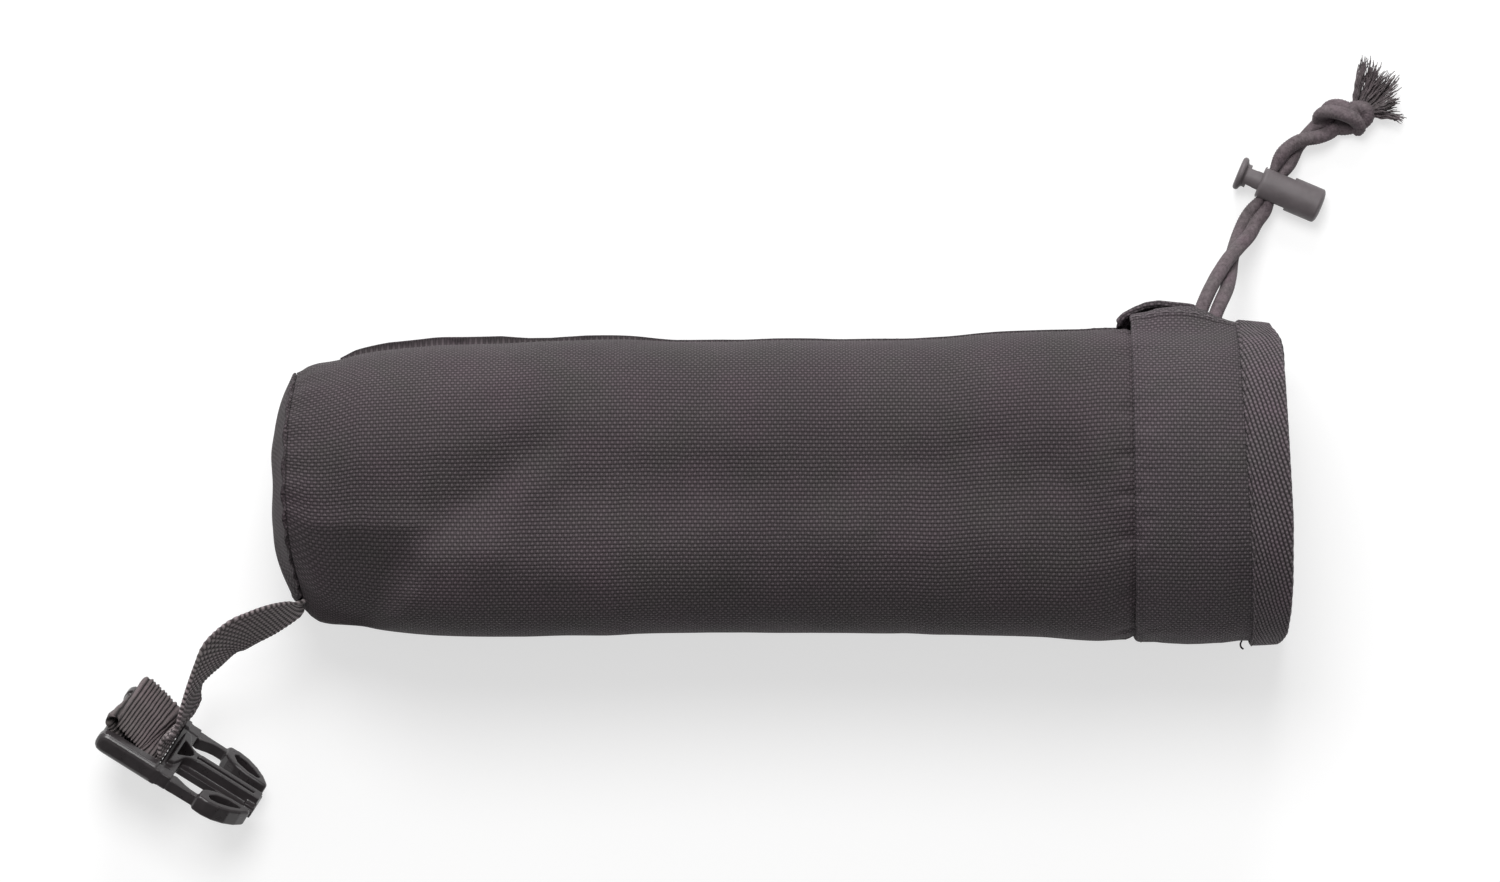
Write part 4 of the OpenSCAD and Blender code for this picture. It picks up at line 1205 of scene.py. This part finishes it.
# Hems: the casing's ends folded back on themselves, and their topstitch.
for tag, sl in (("upper", slice(0, 10)), ("lower", slice(nc - 1, nc - 11, -1))):
    rows_p, rows_n = CAS[:, sl], CASN[:, sl]          # from the lip inwards
    keep = slice(1, len(Xc) - 16)
    rows_p, rows_n = rows_p[keep], rows_n[keep]
    d = np.linalg.norm(np.diff(rows_p, axis=1), axis=2).cumsum(1)
    edge_dir = unit(rows_p[:, 0] - rows_p[:, 2])
    take = [8, 7, 6, 5, 4, 3, 2, 1, 0]
    top = np.stack([rows_p[:, t] + rows_n[:, t] * (0.50 if t < 8 else 0.05) for t in take], 1)
    arc = []
    for a in (35, 75, 105, 145):
        a = math.radians(a)
        arc.append(rows_p[:, 0] + rows_n[:, 0] * (-0.45 + 0.95 * math.cos(a)) + edge_dir * 0.95 * math.sin(a))
    bot = np.stack([rows_p[:, t] - rows_n[:, t] * (1.45 if t < 8 else 1.0) for t in take[::-1]], 1)
    sec = np.concatenate([top, np.stack(arc, 1), bot], 1)
    n_s, k = sec.shape[:2]
    ulen = np.concatenate([np.zeros((n_s, 1)), np.linalg.norm(np.diff(sec, axis=1), axis=2).cumsum(1)], 1)
    quads = grid_quads(n_s, k, True)
    uv = grid_uv(np.repeat(Xc[keep][:, None], k, 1), ulen, True, ulen[:, -1] + 1.4)
    caps = [list(range(k))[::-1], [(n_s - 1) * k + i for i in range(k)]]
    ob = make_mesh("casing_fold_" + tag, sec.reshape(-1, 3), quads, uv.reshape(-1, 2))
    bm = bmesh.new()
    bm.from_mesh(ob.data)
    bmesh.ops.holes_fill(bm, edges=[e for e in bm.edges if e.is_boundary], sides=0)
    bmesh.ops.recalc_face_normals(bm, faces=bm.faces)
    bm.to_mesh(ob.data)
    bm.free()
    for p in ob.data.polygons:
        p.use_smooth = True
    paint(ob, M_CASING)
    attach(ob, "bag")
    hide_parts("casing_hem_" + tag)
    line = rows_p[:, 6] + rows_n[:, 6] * 0.42
    stitches("casing_topstitch_" + tag, line, rows_n[:, 6], 3.6, 0.35, 0.27, 0.15, node="casing_hem_thread")

# Seam that holds the casing's folded edge: thread sunk close by the edge, in the darker copy of the thread as painted
# shade.
k_edge = int(np.argmin(abs(Xc - 102.0)))
stitches("casing_seam_stitches", (CAS[k_edge] + CASN[k_edge] * (-0.12))[4:-4], CASN[k_edge][4:-4], 2.6, 0.8, 0.17, 0.3, mat=M_THREAD_SHADE,
         node="casing_seam_thread")

# ------------------------------------------------------------------ mouth binding
nb = 420 if Q else 560
Fb = np.linspace(0, 1, nb, endpoint=False)
W_OUT = 12.0
leg = 44 if Q else 56
wl = np.linspace(0, W_OUT, leg)


def rim_line(Fv):
    return surface(np.full((1, len(Fv)), 144.0), Fv)[0]


def tape_x(w, Yv):
    """Nominal station of the tape's outer edge at Yv; w is not used."""
    start = 131.6 - 0.012 * (Yv + 44) - 0.6
    return start


rim = surface(np.array([144.2]), Fb)[0]
startx = 132.6 + 2.0 * (-rim[:, 1] / 44.0) * smooth01((rim[:, 2] - 10) / 30.0)
cols = []
for w in wl:
    t = w / W_OUT
    Xn = startx + (144.0 - startx) * t
    cols.append(surface(Xn[None], Fb[None])[0])
legp = np.stack(cols)                                           # (leg, nb, 3) from the edge to the mouth
# lips that the casing leaves beside the tape carry it outwards a little near its opening
pushw = np.maximum(smooth01(1 - np.minimum(Fb, 1 - Fb) * AROUND / 15.0), 0)
legp[..., 1] += (pushw[None] * np.linspace(1.35, 1.0, leg)[:, None])
Nl = grid_normals(legp, True)
if Nl[20, nb // 4, 2] < 0:
    Nl = -Nl
vv = Fb * AROUND * 1.04


def twill(w, v):
    """Twill: fine ribs that run along the tape at a slant."""
    x = (w - 0.32 * v) / 1.3
    return np.abs(np.cos(np.pi * (x - np.round(x)))) ** 0.8 + 0.0 * v


hw = twill(wl[:, None], vv[None])
lumps = 0.22 * vnoise(np.stack([legp[..., 0] / 6, legp[..., 1] / 6, legp[..., 2] / 6], -1), 51)
rise = np.interp(wl, [0, 0.35, 0.9, 2.2, 9, 12], [0.05, 0.62, 0.95, 1.0, 0.85, 0.75])
top_s = legp + Nl * (rise[:, None] + lumps + 0.20 * (hw - 0.6))[..., None]
fwd = np.array([1.0, 0, 0])
bend = []
for a in np.linspace(20, 160, 9):
    ar = math.radians(a)
    h = twill(np.full(nb, W_OUT + 2.6 * a / 180), vv)
    rad_n = 1.75 + 0.2 * (h - 0.6)
    c0 = legp[-1] + Nl[-1] * (-0.9)
    bend.append(c0 + Nl[-1] * (rad_n * math.cos(ar))[:, None] + fwd * (rad_n * 0.62 * math.sin(ar))[:, None])
legi = legp[::-1][::3]
hwi = twill(np.linspace(15, 27, len(legi))[:, None], vv[None])
bot_s = legi - Nl[::-1][::3] * (2.55 + 0.2 * (hwi - 0.6))[..., None]
tape = np.concatenate([top_s, np.stack(bend), bot_s])
tape[..., 2] = np.maximum(tape[..., 2], 0.02)
back_off = np.concatenate([np.full(leg, 0.75), np.full(9, 0.75), np.full(len(bot_s), 0.75)])
Nt = grid_normals(tape, True)
if Nt[20, nb // 4, 2] < 0:
    Nt = -Nt
under = tape - Nt * 0.62
ut = np.concatenate([wl, W_OUT + np.linspace(0.3, 3.2, 9), W_OUT + 3.4 + np.linspace(0, 12, len(bot_s))])
binding = shell("mouth_tape", tape, under, True, np.repeat(ut[:, None], nb, 1), np.repeat(vv[None], len(ut), 0),
                np.full(len(ut), AROUND * 1.04))
fix_normals(binding)
paint(binding, M_TAPE)
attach(binding, "bag")
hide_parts("mouth_binding")
k = 5
# stitches in the darker copy of the thread: painted shade where they sink into the tape
stitches("mouth_tape_stitches", (top_s[k] - Nt[k] * 0.10)[::3], Nt[k][::3], 2.7, 0.7, 0.20, 0.3, closed=True, mat=M_THREAD_SHADE,
         node="binding_thread")
# Loose end of the binding's thread at the lower corner.
tailp, _ = braid_tube("binding_thread_end", [[131.6, -44.2, 36.0], [131.2, -45.2, 36.2], [131.4, -46.1, 36.8], [132.0, -46.6, 37.2]],
                      0.28, n_strands=4, amp=0.05, pitch=1.4, step=0.12, around=10)
paint(tailp, M_THREAD)
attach(tailp, "bag")

# ------------------------------------------------------------------ webbing and buckle
BK_P = np.array([-174.8, -76.2, 16.0])
ya, ro = math.radians(-32.0), math.radians(-59.5)
BU = np.array([math.cos(ya), math.sin(ya), 0.0])
BN = np.array([-math.sin(ro) * -math.sin(ya), -math.sin(ro) * math.cos(ya), math.cos(ro)])
BV = np.cross(BN, BU)


def bk(u, v, n):
    return BK_P + u * BU + v * BV + n * BN


def bk_mat():
    return Matrix(((BU[0], BV[0], BN[0], BK_P[0] * MM), (BU[1], BV[1], BN[1], BK_P[1] * MM),
                   (BU[2], BV[2], BN[2], BK_P[2] * MM), (0, 0, 0, 1)))


def web_height(s, c, half=12.4):
    """Webbing: the yarns that lie on top stand up, with a pit between each pair."""
    a, b = (s + 0.22 * c) / 0.72, c / 2.05
    h = 0.5 + 0.5 * np.cos(np.pi * a) * np.cos(np.pi * np.round(b))
    h = h * np.clip(np.cos(np.pi * (b - np.round(b))), 0, 1) ** 0.6
    edge = np.clip((np.abs(c) - (half - 1.3)) / 0.4, 0, 1)
    return h * (1 - edge) + (0.35 + 0.5 * np.abs(np.cos(np.pi * s / 1.44))) * edge


def rib_height(s, c, half=12.4):
    """The same webbing bent tight: its weft stands up in ribs."""
    k = s + 0.10 * np.sin(c / 1.9) + 0.07 * np.sin(c / 0.83 + 1.0)
    rib = np.abs(np.cos(np.pi * k / RIB)) ** 0.6
    yarn = 0.86 + 0.14 * np.cos(2 * np.pi * (c / 0.9 + 0.5 * np.floor(s / RIB + 0.5)))
    return rib * yarn


RIB = 1.12


def webbing(name, path, widths, height, thick=1.45, half=12.4, step=0.21, amp=0.3, across=104, s0=0.0, mix=None,
            fray=0.0):
    rows, s = resample(np.concatenate([np.asarray(path, float), np.asarray(widths, float)], 1), step=step)
    C, Wd = rows[:, :3], rows[:, 3:]
    T = unit(np.gradient(C, axis=0))
    Nn = unit(np.cross(T, Wd))
    Wn = np.cross(Nn, T)
    k = across // 2
    a = np.linspace(-1, 1, k)
    cc = half * np.sign(a) * np.abs(a) ** 0.94
    c = np.concatenate([cc, cc[::-1]])
    sgn = np.concatenate([np.ones(k), -np.ones(k)])
    prof = np.sqrt(np.clip(1 - (np.abs(c) / (half + 0.12)) ** 14, 0, 1))
    S, Cc = np.meshgrid(s + s0, c, indexing="ij")
    h = height(S + (sgn[None] < 0) * 0.69, Cc)
    if mix is not None:
        h2, w = mix
        wv = np.interp(s / s[-1], w[0], w[1])[:, None]
        h = h * (1 - wv) + h2(S, Cc) * wv
    rim = np.clip((np.abs(Cc) - (half - 2.2)) / 2.2, 0, 1) ** 1.5
    pitch = RIB if mix is not None else 1.36
    scal = 1 + (0.014 + 0.022 * fray) * np.cos(2 * np.pi * S / pitch)
    off = sgn[None] * prof[None] * (thick / 2 - amp * 0.6 + amp * h)
    off = off + fray * rim * (0.42 * np.sin(2 * np.pi * S / (2 * pitch) + 0.6) + 0.2 * np.sin(2 * np.pi * S / 3.7))
    Pp = C[:, None] + Wn[:, None] * (Cc * scal)[..., None] + Nn[:, None] * off[..., None]
    n_s, n_c = Pp.shape[:2]
    uv = grid_uv(S, Cc, True, Cc[:, 0])
    ob = make_mesh(name, Pp.reshape(-1, 3), grid_quads(n_s, n_c, True), uv.reshape(-1, 2))
    bm = bmesh.new()
    bm.from_mesh(ob.data)
    bmesh.ops.holes_fill(bm, edges=[e for e in bm.edges if e.is_boundary], sides=0)
    bmesh.ops.recalc_face_normals(bm, faces=bm.faces)
    bm.to_mesh(ob.data)
    bm.free()
    for p in ob.data.polygons:
        p.use_smooth = True
    return ob, C, Wn, Nn, s


def at_slot(n):
    return bk(-1.9, 0, n)


root_dir = np.array([math.cos(math.radians(30)), math.sin(math.radians(30)), 0])
STRAP = [np.array([-136.8, -33.4, 36]) + root_dir * 3.6, (-136.8, -33.4, 36), (-138.8, -35.1, 36), (-142.1, -36.5, 36),
         (-146.2, -38.2, 36), (-150.5, -40.1, 35.8), (-154.4, -42.0, 35.4), (-159.2, -45.6, 34.2), (-162.2, -49.4, 32.6),
         (-165.5, -54.7, 30), (-168.7, -59.8, 26.8), (-170.2, -64.9, 23.6), bk(-2.2, 0, 10.4), bk(-2.3, 0, 7.6),
         bk(-2.1, 0, 5.2), bk(-1.9, 0, 3.8)]


def lean(deg):
    """Width direction of the webbing where it runs square to the buckle, turned by deg."""
    return tuple(-math.cos(math.radians(deg)) * BV + math.sin(math.radians(deg)) * BU)


STRAP_W = [(0, 0, 1), (-.02, .03, 1), (-.085, .145, .986), (-.097, .235, .967), (-.142, .285, .948),
           (-.204, .287, .936), (-.319, .236, .918), (-.416, .095, .904), (-.425, -.122, .897), (-.361, -.274, .892),
           (-.258, -.424, .868), (-.281, -.481, .831), lean(-6), lean(-7), lean(-4), lean(0)]
step_w = 0.3 if Q else 0.16
strap, SC, SW, SN, SS = webbing("strap_webbing", STRAP, STRAP_W, web_height, step=step_w)
paint(strap, M_WEBT)
strap_len = SS[-1]
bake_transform(strap)
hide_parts("strap_anchor", "carry_strap")

# Round the middle bar and back over it: u, n and how much the strip leans there.
WRAP = [(-1.9, 4.1, 0), (-1.9, 2.4, 0), (-1.9, 0.4, 0), (-2.1, -1.3, 0), (-3.2, -2.5, 0), (-5.6, -2.8, 0),
        (-8.6, -2.85, 0), (-11.4, -2.7, 0), (-13.2, -1.8, 0), (-14.0, -0.2, 0), (-14.1, 1.6, 0.1), (-14.7, 3.0, 0.4),
        (-16.1, 4.2, 0.8), (-17.4, 5.2, 1), (-18.3, 5.85, 1), (-18.6, 6.6, 1), (-18.2, 7.3, 1), (-17.4, 7.5, 1),
        (-15.6, 7.1, 1), (-13.6, 6.6, 1), (-11.6, 6.1, 0.98), (-9.6, 5.55, 0.95), (-8.0, 5.0, 0.9), (-6.9, 4.4, 0.9),
        (-6.3, 3.6, 0.8), (-5.9, 2.9, 0.6), (-5.2, 2.45, 0.4), (-4.4, 2.0, 0.2), (-3.9, 1.2, 0.1), (-3.78, -0.2, 0)]
wp, ww = [], []
for u, n, k in WRAP:
    wp.append(bk(u + 0.4 * k, 0, n))
    ww.append(-BV - 0.18 * k * BU - 0.14 * k * BN)
wrap, WC, WW, WN, WS = webbing("strap_round_bars", wp, ww, web_height, step=0.2 if Q else 0.13, s0=0.0,
                               mix=(rib_height, ([0, 0.08, 0.12, 1], [0, 0, 1, 1])), amp=0.46, fray=0.45, thick=1.6)
wrap.data.materials.clear()
wrap.data.materials.append(M_WEBT)
wrap.data.materials.append(M_RIB)
row_len = 104
split = int(0.10 * len(WS)) * row_len
for k, p in enumerate(wrap.data.polygons):
    p.material_index = 1 if k >= split else 0
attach(wrap, "buckle")
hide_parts("strap_wrap")

# Rows of thread across the folded tail, in the darker copy of the thread as painted shade, and the tack that holds the
# webbing in the base seam.
k_t = int(np.argmin(np.linalg.norm(WC - bk(-12.4, 0.5, 6.6)[None], axis=1)))
tack = []
for dk in (0, len(WS) // 40):
    row = WC[k_t + dk] + np.linspace(-10.5, 10.5, 40)[:, None] * WW[k_t + dk]
    tack.append(stitches("tail_row_%d" % dk, row + WN[k_t + dk] * 0.78, np.repeat(WN[k_t + dk][None], 40, 0), 2.2, 0.5, 0.2, 0.25,
                         mat=M_THREAD_SHADE, body_name="buckle"))
tail_ob = join("strap_tail_stitches", tack)
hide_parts("strap_tail_thread")
side_n = np.array([-root_dir[1], root_dir[0], 0])
bars = []
for kz, z in enumerate((-10, -7, -4, -1, 2, 5, 8)):
    a = np.array([-136.8, -33.4, 36 + z]) + root_dir * 1.6
    b = np.array([-136.8, -33.4, 36 + z + 2.4]) + root_dir * 3.2
    bars.append(stitches("bar_%d" % kz, np.linspace(a, b, 8) + side_n * 0.62, np.repeat(side_n[None], 8, 0), 2.6, 0.1, 0.2, 0.15))
bar_ob = join("strap_root_tack", bars)
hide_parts("strap_bartack")

VOX = 0.34 if Q else 0.2


def sided(points, s):
    pts = [(u, s * v) for u, v in points]
    return pts if s > 0 else pts[::-1]


parts = []
for s in (1, -1):
    # side rail: deep, its back end round, its outer face crowned
    for grow, v0, v1 in ((0.0, 12.7, 15.4), (0.3, 12.9, 15.9), (0.75, 13.2, 16.3), (1.4, 13.6, 16.5)):
        out = rounded([(-20.1 + grow, -3.2 + grow), (-1.0, -3.2 + grow), (-1.0, 3.2 - grow), (-20.1 + grow, 3.2 - grow)],
                      [3.1 - grow * 0.6, 0.3, 0.3, 3.1 - grow * 0.6], 9)
        parts.append(side_prism(out, s * v0, s * v1))
    # neck after the rail, with a low collar round it
    parts.append(prism(rounded(sided([(-1.6, 12.2), (4.1, 11.6), (4.1, 15.9), (-1.6, 16.1)], s), 0.5), -2.4, 1.9))
    parts.append(prism(rounded(sided([(-1.2, 12.4), (0.5, 12.4), (0.5, 16.35), (-1.2, 16.35)], s), 0.4), -2.75, 2.35))
# end bar, a rounded bar that the tail lies over
parts.append(side_prism(rounded([(-19.7, -1.5), (-15.3, -1.2), (-15.3, 1.2), (-19.7, 1.5)], 1.1, 6), -13, 13))
parts.append(side_prism(rounded([(-7.7, -1.4), (-5.0, -1.4), (-5.0, 1.4), (-7.7, 1.4)], 0.8, 5), -13, 13))
# root plate, whose corners sweep round into the double rib of the guide
parts.append(prism(rounded([(-0.95, -13), (4.1, -13), (4.1, 13), (-0.95, 13)], 0.3), -1.7, 1.7))
parts.append(prism([(0.6, -9.4), (2.2, -8.9), (3.0, -7.0), (3.7, -4.6), (4.7, -3.1), (6.4, -2.25), (9, -2.15), (9, 2.15),
                    (6.4, 2.25), (4.7, 3.1), (3.7, 4.6), (3.0, 7.0), (2.2, 8.9), (0.6, 9.4)], -1.7, 3.1))
parts.append(prism(rounded([(3.4, -5.1), (28.9, -4.9), (28.9, 4.9), (3.4, 5.1)], 0.35), -2.3, 0.0))
parts.append(prism(rounded([(8.0, -2.15), (28.6, -2.05), (28.6, 2.05), (8.0, 2.15)], 0.3), -0.6, 3.25))
parts.append(prism(rounded([(25.6, -4.4), (28.95, -4.2), (28.95, 4.2), (25.6, 4.4)], 0.3), -2.3, 1.1))
frame_ob = join("frame_raw", parts)
m = frame_ob.modifiers.new("fuse", "REMESH")
m.mode, m.voxel_size = "VOXEL", VOX * MM
apply_mods(frame_ob)
cut(frame_ob, box3(7.2, 26.4, -0.62, 0.62, -0.4, 4, "slot"))
cut(frame_ob, prism([(1.7, -4.5), (3.2, -3.3), (5.4, -1.35), (5.9, 0.0), (5.4, 1.35), (3.2, 3.3), (1.7, 4.5)], -1.0, 4, "pocket"))
buckle = moulded("buckle_frame_moulded", [frame_ob], voxel=VOX, smooth=3, place=bk_mat())
paint(buckle, M_PLASTIC)
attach(buckle, "buckle")
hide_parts("buckle_frame")

for tag, s in (("left", -1), ("right", 1)):
    arm = [(3.3, 12.4), (3.3, 15.4), (4.3, 15.9), (8.6, 15.7), (14.4, 15.6), (14.4, 13.8), (10.6, 13.75), (8.7, 13.3), (6.6, 12.4), (5.2, 11.8)]
    head = [(13.4, 11.6), (13.1, 16.2), (16.5, 16.5), (20.0, 15.8), (23.4, 14.1), (26.4, 11.6), (28.3, 9.1),
            (28.3, 7.75), (26.0, 7.55), (21.5, 7.7), (17.5, 8.7), (14.8, 10.2)]
    pp = [prism(rounded(sided(arm, s), 0.45, 4), -2.35, 1.25)]
    cx, cy = 20.0, 12.0
    for shrink, z0, z1 in ((1.0, -2.6, 1.75), (0.965, -2.85, 2.1), (0.92, -3.0, 2.3)):
        pp.append(prism(rounded(sided([(cx + (u - cx) * shrink, cy + (v - cy) * shrink) for u, v in head], s), 0.7, 4), z0, z1))
    raw = join("prong_raw_" + tag, pp)
    m = raw.modifiers.new("fuse", "REMESH")
    m.mode, m.voxel_size = "VOXEL", VOX * MM
    apply_mods(raw)
    win = [(15.6, 13.2), (17.0, 14.3), (19.2, 13.9), (22.6, 12.2), (25.6, 9.9), (24.6, 9.2), (21.4, 9.4), (17.6, 10.7)]
    cut(raw, prism(rounded(sided(win, s), 0.6, 4), -1.4, 5, "window"))
    cut(raw, prism(rounded(sided([(17.2, 12.6), (19.4, 12.4), (22.6, 10.9), (20.4, 10.6)], s), 0.4, 4), -5, 5, "through"))
    pr = moulded("buckle_arm_" + tag, [raw], voxel=VOX * 0.85, smooth=3, place=bk_mat())
    paint(pr, M_PLASTIC)
    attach(pr, "prong_" + tag)
    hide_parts("buckle_prong_" + tag)

# ------------------------------------------------------------------ floor and light
def area(name, loc, target, size, power, color=(1, 1, 1)):
    d = bpy.data.lights.new(name, "AREA")
    d.shape, d.size, d.energy, d.color = "DISK", size, power, color
    o = bpy.data.objects.new(name, d)
    o.location = loc
    o.rotation_mode = "QUATERNION"
    o.rotation_quaternion = (Vector(target) - Vector(loc)).to_track_quat("-Z", "Y")
    sc.collection.objects.link(o)
    return o


floor_me = bpy.data.meshes.new("floor")
floor_me.from_pydata([(-6, -6, 0), (6, -6, 0), (6, 6, 0), (-6, 6, 0)], [], [(0, 1, 2, 3)])
floor = bpy.data.objects.new("floor", floor_me)
sc.collection.objects.link(floor)
fm = Nodes("floor_white")
fm.bsdf.inputs["Base Color"].default_value = (0.44, 0.44, 0.44, 1)
fm.bsdf.inputs["Roughness"].default_value = 1.0
fm.bsdf.inputs["Specular IOR Level"].default_value = 0.0
fm.bsdf.inputs["Emission Color"].default_value = (1, 1, 1, 1)
fm.bsdf.inputs["Emission Strength"].default_value = 0.62
floor.data.materials.append(fm.mat)

world = bpy.data.worlds.new("studio")
world.use_nodes = True
wn, wl = world.node_tree.nodes, world.node_tree.links
wn["Background"].inputs[0].default_value = (1.0, 1.0, 1.0, 1)
dirn, sep, amt = wn.new("ShaderNodeTexCoord"), wn.new("ShaderNodeSeparateXYZ"), wn.new("ShaderNodeMapRange")
wl.new(dirn.outputs["Generated"], sep.inputs[0])
wl.new(sep.outputs[1], amt.inputs[0])
amt.interpolation_type = "SMOOTHSTEP"
for k, val in enumerate((-0.75, 0.45, 0.10, 0.56)):
    amt.inputs[1 + k].default_value = val
wl.new(amt.outputs[0], wn["Background"].inputs[1])
sc.world = world
area("key", (-0.15, 0.98, 2.0), (0, 0, 0.04), 1.1, 29.5)
area("top_edge", (0.1, 1.85, 0.95), (0, 0, 0.04), 0.9, 19)
